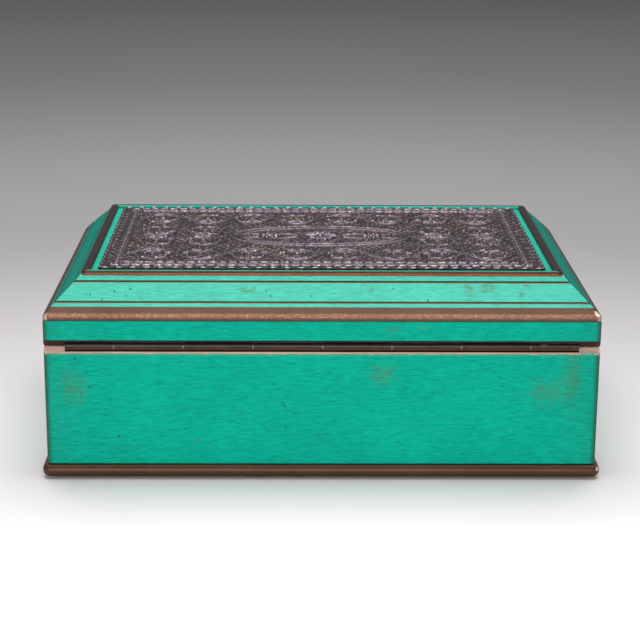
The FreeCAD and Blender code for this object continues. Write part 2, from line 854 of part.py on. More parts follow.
def build():
    """Every piece by its node's name."""
    parts = {
        "base_felt": base_felt(),
        "base_board": base_board(),
        "base_screws": placed_screws(base_screw_places(), base_screw_length),
        "floor_lining": floor_lining(),
        "tray_runner_left": tray_runner("left"),
        "tray_runner_right": tray_runner("right"),
        "hinge_case_leaf": hinge_case_leaf(),
        "hinge_lid_leaf": hinge_lid_leaf(),
        "hinge_pin": hinge_pin(),
        "hinge_case_screws": placed_screws(case_hinge_screw_places(), hinge_screw_length),
        "hinge_lid_screws": placed_screws(lid_hinge_screw_places(), hinge_screw_length),
        "lock_plate": lock_plate(),
        "lock_cap": lock_cap(),
        "lock_drill_pin": lock_drill_pin(),
        "lock_spring": lock_spring(),
        "lock_bolt": lock_bolt(),
        "lock_screws": placed_screws(lock_screw_places(), lock_screw_length),
        "key": key(),
        "keyhole_escutcheon": keyhole_escutcheon(),
        "escutcheon_pins": escutcheon_pins(),
        "hook_plate": hook_plate(),
        "hook_plate_screws": placed_screws(hook_plate_screw_places(), lock_screw_length),
        "lid_top_board": lid_top_board(),
        "lid_lining": lid_lining(),
        "relief_panel": relief_panel(),
        "tray_floor": tray_floor_board(),
        "tray_front": tray_long_wall(-tray_half_depth, tray_well_front),
        "tray_rear": tray_long_wall(tray_well_rear, tray_half_depth),
        "tray_left": tray_end_wall(-tray_half_width, -tray_well_half_width),
        "tray_right": tray_end_wall(tray_well_half_width, tray_half_width),
        "tray_dividers": tray_dividers(),
        "tray_tabs": tray_tabs(),
    }
    for side in SIDES:
        parts[f"case_{side}_wall"] = case_wall(side)
        parts[f"lid_{side}_rail"] = lid_rail(side)
        parts[f"lid_{side}_band"] = lid_band(side)
        parts[f"lid_{side}_slope"] = lid_slope(side)
        parts[f"top_{side}_bead"] = top_bead(side)
    return parts


def main():
    os.makedirs("parts", exist_ok=True)
    for name, shape in build().items():
        shape.exportStep(f"parts/{name}.step")
        state = "valid" if shape.isValid() else "INVALID"
        print(name, len(shape.Solids), "solids", round(shape.Volume, 1), "mm3", state)


main()
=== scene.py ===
"""Looks of a painted wooden cash box, built on its packed frame.

Metres. +Z is up, the lock faces -Y and the strip hinge +Y, as in the frame.
"""
import math

import bmesh
import bpy
from bpy.props import FloatProperty, FloatVectorProperty, IntProperty, PointerProperty
from mathutils import Matrix, Vector, kdtree, noise


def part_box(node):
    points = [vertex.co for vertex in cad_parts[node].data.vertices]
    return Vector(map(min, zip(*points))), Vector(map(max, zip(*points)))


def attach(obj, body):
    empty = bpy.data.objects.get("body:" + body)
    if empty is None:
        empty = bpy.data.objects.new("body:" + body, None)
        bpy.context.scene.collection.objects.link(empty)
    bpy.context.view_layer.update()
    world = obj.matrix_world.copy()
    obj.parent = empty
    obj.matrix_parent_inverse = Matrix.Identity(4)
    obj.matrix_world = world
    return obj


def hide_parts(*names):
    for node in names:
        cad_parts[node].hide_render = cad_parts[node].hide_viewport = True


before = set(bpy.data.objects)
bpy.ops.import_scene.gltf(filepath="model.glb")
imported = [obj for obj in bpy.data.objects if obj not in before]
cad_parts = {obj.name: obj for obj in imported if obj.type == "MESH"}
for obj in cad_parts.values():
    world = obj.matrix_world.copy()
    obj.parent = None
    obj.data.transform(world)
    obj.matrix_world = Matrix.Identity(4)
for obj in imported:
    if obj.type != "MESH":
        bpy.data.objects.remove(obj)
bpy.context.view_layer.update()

bl_info = {
    "name": "Painted cash box",
    "version": (1, 0, 0),
    "blender": (4, 5, 0),
    "location": "3D View > Sidebar > Cash box",
    "description": "Builds the looks of a painted wooden cash box on its frame",
    "category": "Object",
}

MM = 0.001
SIDES = ("front", "right", "rear", "left")
LONG_SIDES = ("front", "rear")

# Boxes of the frame's nodes
WALL_LOW, WALL_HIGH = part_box("case_rear_wall")
RAIL_LOW, RAIL_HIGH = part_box("lid_rear_rail")
BAND_LOW, BAND_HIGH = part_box("lid_rear_band")
SLOPE_LOW, SLOPE_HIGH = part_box("lid_rear_slope")
TOP_LOW, TOP_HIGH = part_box("lid_top_board")
BEAD_LOW, BEAD_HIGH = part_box("top_rear_bead")
BASE_LOW, BASE_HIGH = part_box("base_board")
PANEL_LOW, PANEL_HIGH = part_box("relief_panel")
PIN_LOW, PIN_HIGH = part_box("hinge_pin")
CASE_LEAF_LOW, CASE_LEAF_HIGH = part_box("hinge_case_leaf")
LID_LEAF_LOW, LID_LEAF_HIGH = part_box("hinge_lid_leaf")
LOCK_LOW, LOCK_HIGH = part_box("lock_plate")
CAP_LOW, CAP_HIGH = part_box("lock_cap")
HOOK_LOW, HOOK_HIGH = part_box("hook_plate")
KEY_LOW, KEY_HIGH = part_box("key")

# Sizes that follow from them
HALF_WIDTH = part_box("case_right_wall")[1].x
HALF_DEPTH = WALL_HIGH.y
WALL = WALL_HIGH.y - WALL_LOW.y
BAND_INSET = HALF_DEPTH - SLOPE_HIGH.y
SLOPE_RISE = SLOPE_HIGH.z - SLOPE_LOW.z
SLOPE_TOP_INSET = BAND_INSET + SLOPE_RISE
BEAD_INSET = HALF_DEPTH - BEAD_HIGH.y
BEAD_WIDTH = BEAD_HIGH.y - BEAD_LOW.y
BASE_OVERHANG = BASE_HIGH.x - HALF_WIDTH
HINGE_Y = (PIN_LOW.y + PIN_HIGH.y) / 2
HINGE_Z = (PIN_LOW.z + PIN_HIGH.z) / 2
BARREL_RADIUS = CASE_LEAF_HIGH.y - HINGE_Y
HINGE_HALF = PIN_HIGH.x

# Slots of a painted board's faces; walls and rails have dark wood as painted shade in the hinge's groove and
# mortise where slopes have a line
PAINT, WOOD, LINE, SHADE_PAINTED = 0, 1, 2, 2

# Further slots of the top board's faces, and the slots of a bead's
LONG_LIP, SHORT_LIP, SKIRT = 3, 4, 5
COPPER, EDGE = 0, 1


def ink(red, green, blue):
    """A colour from its screen values, 0 to 255."""
    def linear(value):
        share = value / 255
        return share / 12.92 if share <= 0.04045 else ((share + 0.055) / 1.055) ** 2.4
    return linear(red), linear(green), linear(blue)


def colour(name, description, red, green, blue):
    """A setting that is a colour, from its screen values."""
    return FloatVectorProperty(name=name, description=description, subtype="COLOR", size=3, min=0, max=1,
                               default=ink(red, green, blue))


def length(name, description, millimetres):
    """A setting that is a length, given in millimetres."""
    return FloatProperty(name=name, description=description, subtype="DISTANCE", unit="LENGTH", min=0,
                         default=millimetres * MM)


def angle(name, description, degrees):
    """A setting that is an angle, given in degrees."""
    return FloatProperty(name=name, description=description, subtype="ANGLE", unit="ROTATION",
                         default=math.radians(degrees))


class CashBoxStage(bpy.types.PropertyGroup):
    """Floor, lights and camera"""
    floor_colour: colour("Floor", "Colour of the floor round the box", 249, 243, 244)
    # Painted shade: the colour the floor darkens to, in place of the light falling off behind the box
    far_painted_shade: colour("Far floor", "Colour that the floor fades to behind the box", 120, 120, 120)
    room_colour: colour("Room", "Even light from all round", 150, 150, 152)
    floor_radius: length("Floor radius", "How far the floor reaches", 8000.0)
    overhead_power: FloatProperty(name="Overhead", description="Power of the soft light above", default=27.5,
                                  subtype="POWER", unit="POWER")
    fill_power: FloatProperty(name="Fill", description="Power of the soft light beside the camera",
                              default=22.0, subtype="POWER", unit="POWER")
    camera_place: FloatVectorProperty(name="Camera", description="Where the camera stands", subtype="XYZ",
                                      unit="LENGTH", default=(0.0122, 0.7939, 0.2766))
    camera_pitch: angle("Pitch", "How far the camera looks down", 16.114)
    camera_yaw: angle("Yaw", "How far the camera turns from the rear face", 0.887)
    camera_roll: angle("Roll", "How far the camera leans", 0.38)
    camera_lens: FloatProperty(name="Lens", description="Focal length of the camera", default=99.03,
                               subtype="DISTANCE_CAMERA")
    camera_sensor: FloatProperty(name="Sensor", description="Width of the camera's sensor", default=36.0,
                                 subtype="DISTANCE_CAMERA")


class CashBoxPaint(bpy.types.PropertyGroup):
    """Colours of the finishes"""
    jade: colour("Jade", "Paint of the case and the lid's rails", 0, 172, 145)
    mint: colour("Mint", "Faded paint of the lid's long slopes", 62, 192, 167)
    # Painted shade: a darker copy of the green for the short slopes and lips that turn away from the light
    shaded_teal: colour("Teal", "Duller paint of the lid's short slopes", 6, 128, 112)
    copper: colour("Copper", "Paint of the lid's band", 122, 88, 71)
    # On the base umber is the paint's own colour; on the bead's short sides it is painted shade
    umber: colour("Umber", "Darker paint of the base and the bead's short sides", 86, 60, 46)
    russet: colour("Russet", "Redder paint of the bead's long sides", 117, 77, 59)
    chipped: colour("Chipped", "Pale ground where paint is knocked off", 232, 216, 198)
    line: colour("Line", "Paint in the scored lines", 112, 84, 62)
    bare: colour("Bare wood", "Wood where the paint has gone", 224, 186, 168)
    # Painted shade: dark wood for the faces round the hinge that lie in shade
    stain: colour("Stained wood", "Dark wood round the hinge", 44, 29, 22)
    grime: colour("Grime", "Dirt on edges and in pits", 46, 38, 26)
    olive: colour("Olive", "Stains on the paint", 86, 118, 62)
    pewter: colour("Pewter", "Crests of the embossed panel", 122, 110, 122)
    gilding: colour("Gilding", "Rubbed gilding on the panel", 150, 118, 88)
    bronze: colour("Bronze", "Oxidised strip hinge", 66, 51, 46)
    brass: colour("Brass", "Lock and escutcheon", 190, 152, 86)
    steel: colour("Steel", "Screws and key", 150, 147, 142)
    baize: colour("Baize", "Felt linings", 26, 78, 56)
    tray: colour("Tray wood", "Oiled wood of the till tray", 170, 122, 78)
    leather: colour("Leather", "Lifting tabs", 108, 66, 40)


class CashBoxJoinery(bpy.types.PropertyGroup):
    """Edges and joints of the woodwork"""
    arris: length("Arris", "Rounding of the boards' edges", 0.45)
    corner: length("Corner", "Rounding of the upright corners", 1.2)
    wear: length("Wear", "How deep handling has worn the boards", 0.07)
    groove: length("Groove", "Chamfer of the case's edges that meet the lid", 2.35)
    lid_groove: length("Lid groove", "Chamfer of the lid's edges that meet the case", 3.6)
    ragged: length("Ragged", "How far chips reach from the groove's edge", 0.35)
    mortise_gap: length("Mortise gap", "Gap round the hinge in its bed", 0.8)
    score: length("Score", "Width of the scored lines", 1.0)
    score_place: length("Score place", "Height of the lower line above the slope's foot", 1.7)
    score_ease: length("Score ease", "Rounding of the scored lines' edges", 0.15)
    slope_board: length("Slope board", "Thickness of the slopes, measured level", 5.0)
    slope_foot: length("Slope foot", "How far the slopes stand in from the case's face at their foot", 3.3)
    upright: length("Upright", "Straight foot of the band under its chamfer", 2.1)
    shoulder: length("Shoulder", "Rounding of the band's worn edge", 1.0)
    bead_edge: length("Bead edge", "Width of the bead's inner edge that is painted green", 2.2)
    bead_round: length("Bead round", "Rounding of the bead's edges", 0.9)
    bead_corner: length("Bead corner", "Rounding of the bead's outer corners in plan", 2.6)
    bead_skirt: length("Bead skirt", "Height of the lip below the bead that is painted with it", 0.3)
    bullnose: length("Bullnose", "Rounding of the base board's edge", 2.6)
    base_corner: length("Base corner", "Rounding of the base board's corners", 3.6)
    base_flat: length("Base flat", "How far in the base board's moulded edge reaches", 12.0)


class CashBoxRelief(bpy.types.PropertyGroup):
    """The embossed panel"""
    cell: length("Cell", "Spacing of the panel's mesh", 0.49)
    plate: length("Plate", "Height of the sheet under the relief", 0.9)
    scallop_pitch: length("Scallop pitch", "Length of one scallop of the edge", 6.0)
    scallop_depth: length("Scallop depth", "How far the scallops bulge", 0.8)
    border: length("Border", "Width of the running border", 7.0)
    border_inset: length("Border inset", "Distance of the border from the foot of the scallops", 3.0)
    fillet: length("Fillet", "Width of the border's two fillets", 1.5)
    dash: length("Dash", "Spacing of the fillets' dashes", 4.6)
    loop: length("Loop", "Length of one loop of the border's wave", 5.5)
    oval_length: length("Oval length", "Length of the middle oval", 84.0)
    oval_breadth: length("Oval breadth", "Breadth of the middle oval", 40.0)
    oval_rim: length("Oval rim", "Width of the oval's rim", 1.2)
    rosette: length("Rosette", "Radius of the rosette in the oval", 8.5)
    columns: IntProperty(name="Columns", description="Scrolls along a full row", default=8, min=2)
    scroll: length("Scroll", "Radius of a scroll", 8.5)
    rib: length("Rib", "Width of a scroll's stem", 1.7)
    eye: length("Eye", "Radius of the flower in a scroll", 2.4)
    space: length("Space", "Gap between the two short rows of scrolls", 2.0)
    thread: length("Thread", "Half width of the finest lines", 0.55)
    stem: length("Stem", "Half width of the waving stems and of the small bosses", 0.6)
    press: length("Press", "Half width of a line that stands at full height", 0.9)
    sprig_pitch: length("Sprig pitch", "Spacing of the small sprigs between the scrolls", 3.7)


class CashBoxHinge(bpy.types.PropertyGroup):
    """The strip hinge"""
    pitch: length("Pitch", "Length of one knuckle", 29.45)
    gap: length("Gap", "Space between knuckles", 0.2)
    leaf: length("Leaf", "Thickness of the leaves", 0.7)
    leaf_ease: length("Leaf ease", "Rounding of the leaves' edges", 0.12)
    chamfer: length("Chamfer", "Bevel on the ends of a knuckle", 0.22)
    facets: IntProperty(name="Facets", description="Sides of a knuckle's round", default=28, min=8)


# Node trees
def feed(tree, socket, value):
    """Links a socket to an output, or sets its plain value."""
    if isinstance(value, bpy.types.NodeSocket):
        tree.links.new(value, socket)
    else:
        socket.default_value = value


def node(tree, kind, inputs=None, **options):
    """A new node with its options set and its inputs fed."""
    made = tree.nodes.new(kind)
    for name, value in options.items():
        setattr(made, name, value)
    for key, value in (inputs or {}).items():
        feed(tree, made.inputs[key], value)
    return made


def calc(tree, operation, *values):
    """One sum on values."""
    return node(tree, "ShaderNodeMath", dict(enumerate(values)), operation=operation).outputs[0]


def times(tree, product, *factors):
    """The product of several values."""
    for factor in factors:
        product = calc(tree, "MULTIPLY", product, factor)
    return product


def spread(tree, value, factor, start):
    """A value times a factor, counted from a start."""
    return calc(tree, "MULTIPLY_ADD", value, factor, start)


def any_of(tree, masks):
    """The strongest of several masks."""
    total = masks[0]
    for mask in masks[1:]:
        total = calc(tree, "MAXIMUM", total, mask)
    return total


def vector_calc(tree, operation, *values):
    """The node of one sum on vectors."""
    return node(tree, "ShaderNodeVectorMath", dict(enumerate(values)), operation=operation)


def ramp(tree, value, start, end):
    """0 at start, 1 at end and smooth between, whichever of the two is higher."""
    inputs = {"Value": value, "From Min": start, "From Max": end}
    return node(tree, "ShaderNodeMapRange", inputs, interpolation_type="SMOOTHSTEP").outputs[0]


# Places of a mix node's colours among its sockets
MIX_BELOW, MIX_ABOVE, MIX_RESULT = 6, 7, 2


def blend(tree, share, below, above):
    """Two colours mixed by a share."""
    mixed = node(tree, "ShaderNodeMix", {0: share}, data_type="RGBA")
    for place, tint in ((MIX_BELOW, below), (MIX_ABOVE, above)):
        feed(tree, mixed.inputs[place], tint if isinstance(tint, bpy.types.NodeSocket) else (*tint, 1))
    return mixed.outputs[MIX_RESULT]


def tinged(tree, tint, mask, strength, over):
    """A colour with another laid over it where a mask is, as strongly as given."""
    return blend(tree, times(tree, mask, strength), tint, over)


def scaled(tree, tint, shade):
    """A colour made darker or lighter by a value round 1."""
    return node(tree, "ShaderNodeVectorMath", {0: tint, "Scale": shade}, operation="SCALE").outputs[0]


def cloud(tree, vector, scale, detail=2.0, roughness=0.5):
    """Uneven values from 0 to 1."""
    inputs = {"Vector": vector, "Scale": scale, "Detail": detail, "Roughness": roughness}
    return node(tree, "ShaderNodeTexNoise", inputs).outputs[0]


def stretched(tree, vector, factors):
    """A place with each axis drawn out by its factor."""
    return vector_calc(tree, "MULTIPLY", vector, factors).outputs[0]


def parts_of(tree, vector):
    """The x, y and z of a place."""
    return node(tree, "ShaderNodeSeparateXYZ", {0: vector}).outputs


# Shader groups that several finishes share
def shader_group(name, inputs, outputs, lay):
    """A group with named sockets, laid out once by a function that returns its outputs."""
    if name in bpy.data.node_groups:
        return bpy.data.node_groups[name]
    group = bpy.data.node_groups.new(name, "ShaderNodeTree")
    for label, kind, default in inputs:
        socket = group.interface.new_socket(name=label, in_out="INPUT", socket_type=kind)
        socket.default_value = default
    for label in outputs:
        group.interface.new_socket(name=label, in_out="OUTPUT", socket_type="NodeSocketFloat")
    given = group.nodes.new("NodeGroupInput").outputs
    taken = group.nodes.new("NodeGroupOutput").inputs
    for label, value in lay(group, given).items():
        feed(group, taken[label], value)
    return group


def grouped(tree, group, **values):
    """Places a group in a tree; a value's name is its socket's, with _ for a space."""
    made = tree.nodes.new("ShaderNodeGroup")
    made.node_tree = group
    for name, value in values.items():
        feed(tree, made.inputs[name.replace("_", " ")], value)
    return made.outputs


# Kinds of socket
VECTOR, VALUE, WHOLE = "NodeSocketVector", "NodeSocketFloat", "NodeSocketInt"
GEOMETRY, MATERIAL = "NodeSocketGeometry", "NodeSocketMaterial"


def brush_group():
    """Strokes drawn out along a board, and broad unevenness of the coat."""
    def lay(tree, given):
        drawn = stretched(tree, given["Vector"], given["Stretch"])
        fine = cloud(tree, drawn, 1.0, 4.0, 0.6)
        coarse = cloud(tree, stretched(tree, drawn, (0.45, 0.45, 0.45)), 1.0, 2.0)
        strokes = spread(tree, fine, 0.75, times(tree, coarse, 0.25))
        return {"Strokes": strokes, "Mottle": cloud(tree, given["Vector"], 30.0, 3.0)}
    inputs = [("Vector", VECTOR, (0, 0, 0)), ("Stretch", VECTOR, (50, 50, 900))]
    return shader_group("brush_strokes", inputs, ["Strokes", "Mottle"], lay)


def corner_group():
    """Nearness to the upright corners of a rectangle in plan."""
    def lay(tree, given):
        x, y, _ = parts_of(tree, given["Vector"])
        near = []
        for place, half in ((x, given["Half Width"]), (y, given["Half Depth"])):
            start = calc(tree, "SUBTRACT", half, given["Reach"])
            near.append(ramp(tree, calc(tree, "ABSOLUTE", place), start, half))
        ragged = cloud(tree, given["Vector"], 420.0, 3.0)
        both = times(tree, *near)
        return {"Mask": both, "Chips": ramp(tree, calc(tree, "ADD", both, ragged), 0.98, 1.2)}
    inputs = [("Vector", VECTOR, (0, 0, 0)), ("Half Width", VALUE, 0.1), ("Half Depth", VALUE, 0.1),
              ("Reach", VALUE, 0.002)]
    return shader_group("corner_rub", inputs, ["Mask", "Chips"], lay)


def blot_group():
    """A soft or ragged spot at one place, such as a stain, a nick or a pit."""
    def lay(tree, given):
        away = vector_calc(tree, "SUBTRACT", given["Vector"], given["Place"]).outputs[0]
        share = vector_calc(tree, "LENGTH", vector_calc(tree, "DIVIDE", away, given["Spread"]).outputs[0])
        cloudy = calc(tree, "SUBTRACT", cloud(tree, given["Vector"], 330.0, 4.0, 0.6), 0.5)
        distance = spread(tree, cloudy, given["Ragged"], share.outputs["Value"])
        return {"Mask": ramp(tree, distance, 1.1, given["Core"])}
    inputs = [("Vector", VECTOR, (0, 0, 0)), ("Place", VECTOR, (0, 0, 0)), ("Spread", VECTOR, (1, 1, 1)),
              ("Ragged", VALUE, 0.0), ("Core", VALUE, 0.5)]
    return shader_group("blot", inputs, ["Mask"], lay)


def pits_group():
    """Scattered pits in a painted surface, on upright and sloped faces alike."""
    def lay(tree, given):
        x, y, z = parts_of(tree, given["Vector"])
        flat = node(tree, "ShaderNodeCombineXYZ", {0: calc(tree, "ADD", x, y), 1: z}).outputs[0]
        cells = node(tree, "ShaderNodeTexVoronoi", {"Vector": flat, "Scale": given["Scale"]},
                     voronoi_dimensions="2D")
        draw = node(tree, "ShaderNodeSeparateColor", {0: cells.outputs["Color"]}).outputs
        chosen = ramp(tree, draw[0], given["Share"], calc(tree, "SUBTRACT", given["Share"], 0.01))
        width = times(tree, given["Size"], calc(tree, "ADD", draw[1], 0.35), given["Scale"])
        spot = ramp(tree, cells.outputs["Distance"], width, times(tree, width, 0.5))
        return {"Mask": times(tree, chosen, spot)}
    inputs = [("Vector", VECTOR, (0, 0, 0)), ("Scale", VALUE, 80.0), ("Share", VALUE, 0.2),
              ("Size", VALUE, 0.0004)]
    return shader_group("pits", inputs, ["Mask"], lay)


def grain_group():
    """Grain of wood drawn out along a board: bands, and fine pores."""
    def lay(tree, given):
        drawn = stretched(tree, given["Vector"], given["Stretch"])
        bands = calc(tree, "SINE", times(tree, cloud(tree, drawn, 0.35, 2.0), 45.0))
        pores = cloud(tree, stretched(tree, drawn, (2.5, 6.0, 6.0)), 1.0, 3.0, 0.65)
        return {"Bands": spread(tree, bands, 0.5, 0.5), "Pores": pores}
    inputs = [("Vector", VECTOR, (0, 0, 0)), ("Stretch", VECTOR, (20, 200, 200))]
    return shader_group("wood_grain", inputs, ["Bands", "Pores"], lay)


def tarnish_group():
    """Patches of tarnish, and fine scratches and specks, on metal."""
    def lay(tree, given):
        patch = cloud(tree, given["Vector"], given["Scale"], 5.0, 0.65)
        specks = cloud(tree, given["Vector"], times(tree, given["Scale"], 9.0), 3.0, 0.7)
        return {"Patches": ramp(tree, patch, 0.38, 0.66), "Specks": specks}
    inputs = [("Vector", VECTOR, (0, 0, 0)), ("Scale", VALUE, 120.0)]
    return shader_group("tarnish", inputs, ["Patches", "Specks"], lay)


# Finishes
def surface(name, **values):
    """A new material with its tree, its Principled shader with constants set, and places on the object."""
    material = bpy.data.materials.new(name)
    material.use_nodes = True
    tree = material.node_tree
    shader = tree.nodes["Principled BSDF"]
    for key, value in values.items():
        shader.inputs[key.replace("_", " ")].default_value = value
    return material, tree, shader, node(tree, "ShaderNodeTexCoord").outputs["Object"]


def coated(tree, shader, tint, rough, height, depth):
    """Gives a shader its colour, its roughness and the fine relief of its surface."""
    feed(tree, shader.inputs["Base Color"], tint)
    feed(tree, shader.inputs["Roughness"], rough)
    relief = node(tree, "ShaderNodeBump", {"Height": height, "Distance": depth}).outputs[0]
    feed(tree, shader.inputs["Normal"], relief)


# Marks on the rear of the box, in millimetres: x, z, half width, half height
WALL_PITS = ((104.8, 53.7, 0.55, 0.55), (98.8, 41.2, 0.5, 0.5), (86.8, 18.7, 0.6, 0.6),
             (17.2, 34.4, 0.5, 0.6), (16.4, 33.3, 0.45, 0.5), (15.8, 32.4, 0.55, 0.5),
             (15.6, 23.2, 0.5, 0.5), (-33.0, 16.5, 0.4, 0.4))
WALL_NICKS = ((102.3, 34.0, 0.6, 1.6), (53.4, 17.2, 0.5, 2.2), (102.6, 38.0, 0.4, 2.6))
WALL_STAINS = ((-25.5, 46.5, 7.5, 7.0), (-106.0, 44.0, 6.0, 15.0), (-97.0, 39.0, 12.0, 8.0),
               (106.0, 41.0, 8.0, 10.0))
SLOPE_PITS = ((81.5, 81.5, 0.7, 0.5), (88.2, 80.7, 0.6, 0.5), (98.4, 79.6, 0.5, 0.4), (100.0, 79.7, 0.5, 0.4),
              (83.2, 79.2, 0.5, 0.4), (93.3, 78.1, 0.5, 0.4), (24.0, 80.9, 0.5, 0.4), (22.0, 79.2, 0.5, 0.4),
              (5.0, 79.3, 0.5, 0.4), (-30.0, 82.0, 0.5, 0.4), (-44.5, 77.9, 0.7, 0.5))
SLOPE_STAINS = ((-21.0, 81.2, 1.6, 1.6), (-87.0, 83.4, 1.8, 1.4), (-84.2, 79.8, 1.6, 1.8),
                (-63.0, 81.0, 3.0, 4.0), (-70.0, 82.0, 6.0, 2.0), (33.0, 81.0, 6.0, 1.6))
RAIL_STAINS = ((-42.0, 67.8, 6.5, 1.2), (-30.0, 66.5, 5.0, 1.5))


def marks(tree, place, rows, ragged, core):
    """One mask for a list of marks on the rear."""
    masks = []
    for x, z, half_width, half_height in rows:
        spot = grouped(tree, blot_group(), Vector=place, Place=(x * MM, HALF_DEPTH, z * MM),
                       Spread=(half_width * MM, 4 * WALL, half_height * MM), Ragged=ragged, Core=core)
        masks.append(spot["Mask"])
    rear = ramp(tree, parts_of(tree, place)[1], 0.5 * HALF_DEPTH, 0.6 * HALF_DEPTH)
    return times(tree, any_of(tree, masks), rear)


def green_paint(name, tint, stretch, gloss, pits=(), nicks=(), stains=(), soiling=0.45, bare_above=None):
    """Brushed green paint with pits and stains, darker in a narrow rim at the upright corners and with a
    broad painted shade reaching in from them, worn to bare wood above a level.
    """
    paints = bpy.context.scene.cash_box_paint
    material, tree, shader, place = surface(name, Specular_IOR_Level=gloss)
    brush = grouped(tree, brush_group(), Vector=place, Stretch=stretch)
    shade = spread(tree, brush["Mottle"], 0.3, spread(tree, brush["Strokes"], 1.45, 0.125))
    tinted = scaled(tree, tint, shade)
    if stains:
        streaky = ramp(tree, brush["Strokes"], 0.7, 0.38)
        stain = times(tree, marks(tree, place, stains, ragged=2.2, core=0.0), streaky)
        tinted = tinged(tree, tinted, stain, soiling, paints.olive)
    # Darker at the upright corners: a narrow rim along them, and a broad painted shade reaching in from them
    for reach, corner_darkening in ((3.2 * MM, 0.78), (22 * MM, 0.14)):
        corner = grouped(tree, corner_group(), Vector=place, Half_Width=HALF_WIDTH, Half_Depth=HALF_DEPTH,
                         Reach=reach)
        tinted = tinged(tree, tinted, corner["Mask"], corner_darkening, paints.grime)
    holes = grouped(tree, pits_group(), Vector=place, Scale=170.0, Share=0.2, Size=0.24 * MM)["Mask"]
    if pits:
        holes = calc(tree, "MAXIMUM", holes, marks(tree, place, pits, ragged=0.6, core=0.45))
    tinted = tinged(tree, tinted, holes, 0.8, paints.grime)
    if nicks:
        nicked = marks(tree, place, nicks, ragged=1.2, core=0.3)
        tinted = tinged(tree, tinted, nicked, 0.8, ink(104, 84, 62))
    if bare_above is not None:
        torn = cloud(tree, stretched(tree, place, (260, 260, 700)), 1.0, 4.0)
        edge = spread(tree, calc(tree, "SUBTRACT", torn, 0.5), 1.8 * MM, parts_of(tree, place)[2])
        scuffed = ramp(tree, edge, bare_above - 1.3 * MM, bare_above)
        flaked = ramp(tree, edge, bare_above, bare_above + 0.2 * MM)
        tinted = tinged(tree, tinted, scuffed, 0.45, ink(120, 150, 104))
        tinted = blend(tree, flaked, tinted, paints.bare)
    height = calc(tree, "SUBTRACT", brush["Strokes"], holes)
    coated(tree, shader, tinted, spread(tree, brush["Strokes"], 0.22, 0.34), height, 0.05 * MM)
    return material


def copper_paint(name, tint, stretch, half_width, half_depth, reach, crest=None, shadow=0.6, flecked=0.0,
                 knock=None, gloss=0.4):
    """Metallic brown paint: streaks, specks and pale chips at the corners, worn, flecked and given a painted
    highlight along a crest.

    Away from the crest it is darkened by painted shade, and a knock is the place and size of one more chip.
    """
    paints = bpy.context.scene.cash_box_paint
    material, tree, shader, place = surface(name, Metallic=0.72, Specular_IOR_Level=gloss)
    brush = grouped(tree, brush_group(), Vector=place, Stretch=stretch)
    wear = grouped(tree, tarnish_group(), Vector=place, Scale=160.0)
    shade = spread(tree, wear["Specks"], 1.05, spread(tree, brush["Strokes"], 0.15, 0.4))
    shade = times(tree, shade, spread(tree, brush["Mottle"], 0.7, 0.65))
    if crest:
        low, middle, high = crest
        z = parts_of(tree, place)[2]
        # Painted light: a highlight along the crest, where wear also shows, and painted shade away from it
        rubbed_and_lit = times(tree, ramp(tree, z, low, middle), ramp(tree, z, high, middle))
        shade = times(tree, shade, spread(tree, rubbed_and_lit, 1.4 - shadow, shadow))
    tinted = scaled(tree, tint, shade)
    if crest:
        worn = cloud(tree, stretched(tree, place, (800, 1700, 1700)), 1.0, 3.0)
        flecks = times(tree, rubbed_and_lit, ramp(tree, worn, 0.52, 0.64))
        tinted = tinged(tree, tinted, flecks, flecked, ink(204, 158, 130))
    tinted = tinged(tree, tinted, ramp(tree, wear["Specks"], 0.4, 0.28), 0.7, paints.grime)
    corner = grouped(tree, corner_group(), Vector=place, Half_Width=half_width, Half_Depth=half_depth,
                     Reach=reach)
    chipped = times(tree, corner["Chips"], 0.4 if knock else 0.7)
    if knock:
        knocked, size = knock
        spot = grouped(tree, blot_group(), Vector=place, Place=knocked, Spread=size, Ragged=1.2, Core=0.4)
        chipped = calc(tree, "MAXIMUM", chipped, spot["Mask"])
    tinted = blend(tree, chipped, tinted, paints.chipped)
    chips = grouped(tree, pits_group(), Vector=place, Scale=60.0, Share=0.14, Size=0.5 * MM)["Mask"]
    tinted = tinged(tree, tinted, chips, 0.6, paints.gilding)
    height = calc(tree, "ADD", brush["Strokes"], wear["Specks"])
    coated(tree, shader, tinted, spread(tree, wear["Specks"], 0.3, 0.24), height, 0.05 * MM)
    return material


def wood(name, tint, stretch, roughness, scarred=False):
    """Wood with grain along a board and a little dirt, scarred where the groove passes the hinge's end."""
    material, tree, shader, place = surface(name, Specular_IOR_Level=0.35)
    grain = grouped(tree, grain_group(), Vector=place, Stretch=stretch)
    shade = spread(tree, grain["Pores"], 0.34, spread(tree, grain["Bands"], 0.16, 0.72))
    shade = spread(tree, cloud(tree, place, 45.0, 3.0), -0.175, shade)
    tinted = scaled(tree, tint, shade)
    if scarred:
        x, _, z = parts_of(tree, place)
        level = spread(tree, cloud(tree, place, 500.0), 1.2 * MM, z)
        scar = times(tree, ramp(tree, x, -HINGE_HALF, -HINGE_HALF - MM),
                     ramp(tree, level, WALL_HIGH.z - 0.7 * MM, WALL_HIGH.z - 0.9 * MM))
        specks = ramp(tree, cloud(tree, place, 3200.0, 2.0), 0.35, 0.65)
        tinted = blend(tree, scar, tinted, blend(tree, specks, ink(112, 138, 126), ink(192, 192, 182)))
    coated(tree, shader, tinted, spread(tree, grain["Pores"], 0.2, roughness), grain["Pores"], 0.08 * MM)
    return material


def metal(name, tint, dull, scale, roughness):
    """Handled metal that is dull in patches."""
    material, tree, shader, place = surface(name, Metallic=0.9)
    wear = grouped(tree, tarnish_group(), Vector=place, Scale=scale)
    tinted = scaled(tree, blend(tree, wear["Patches"], tint, dull), spread(tree, wear["Specks"], 0.3, 0.85))
    coated(tree, shader, tinted, spread(tree, wear["Patches"], 0.2, roughness), wear["Specks"], 0.03 * MM)
    return material


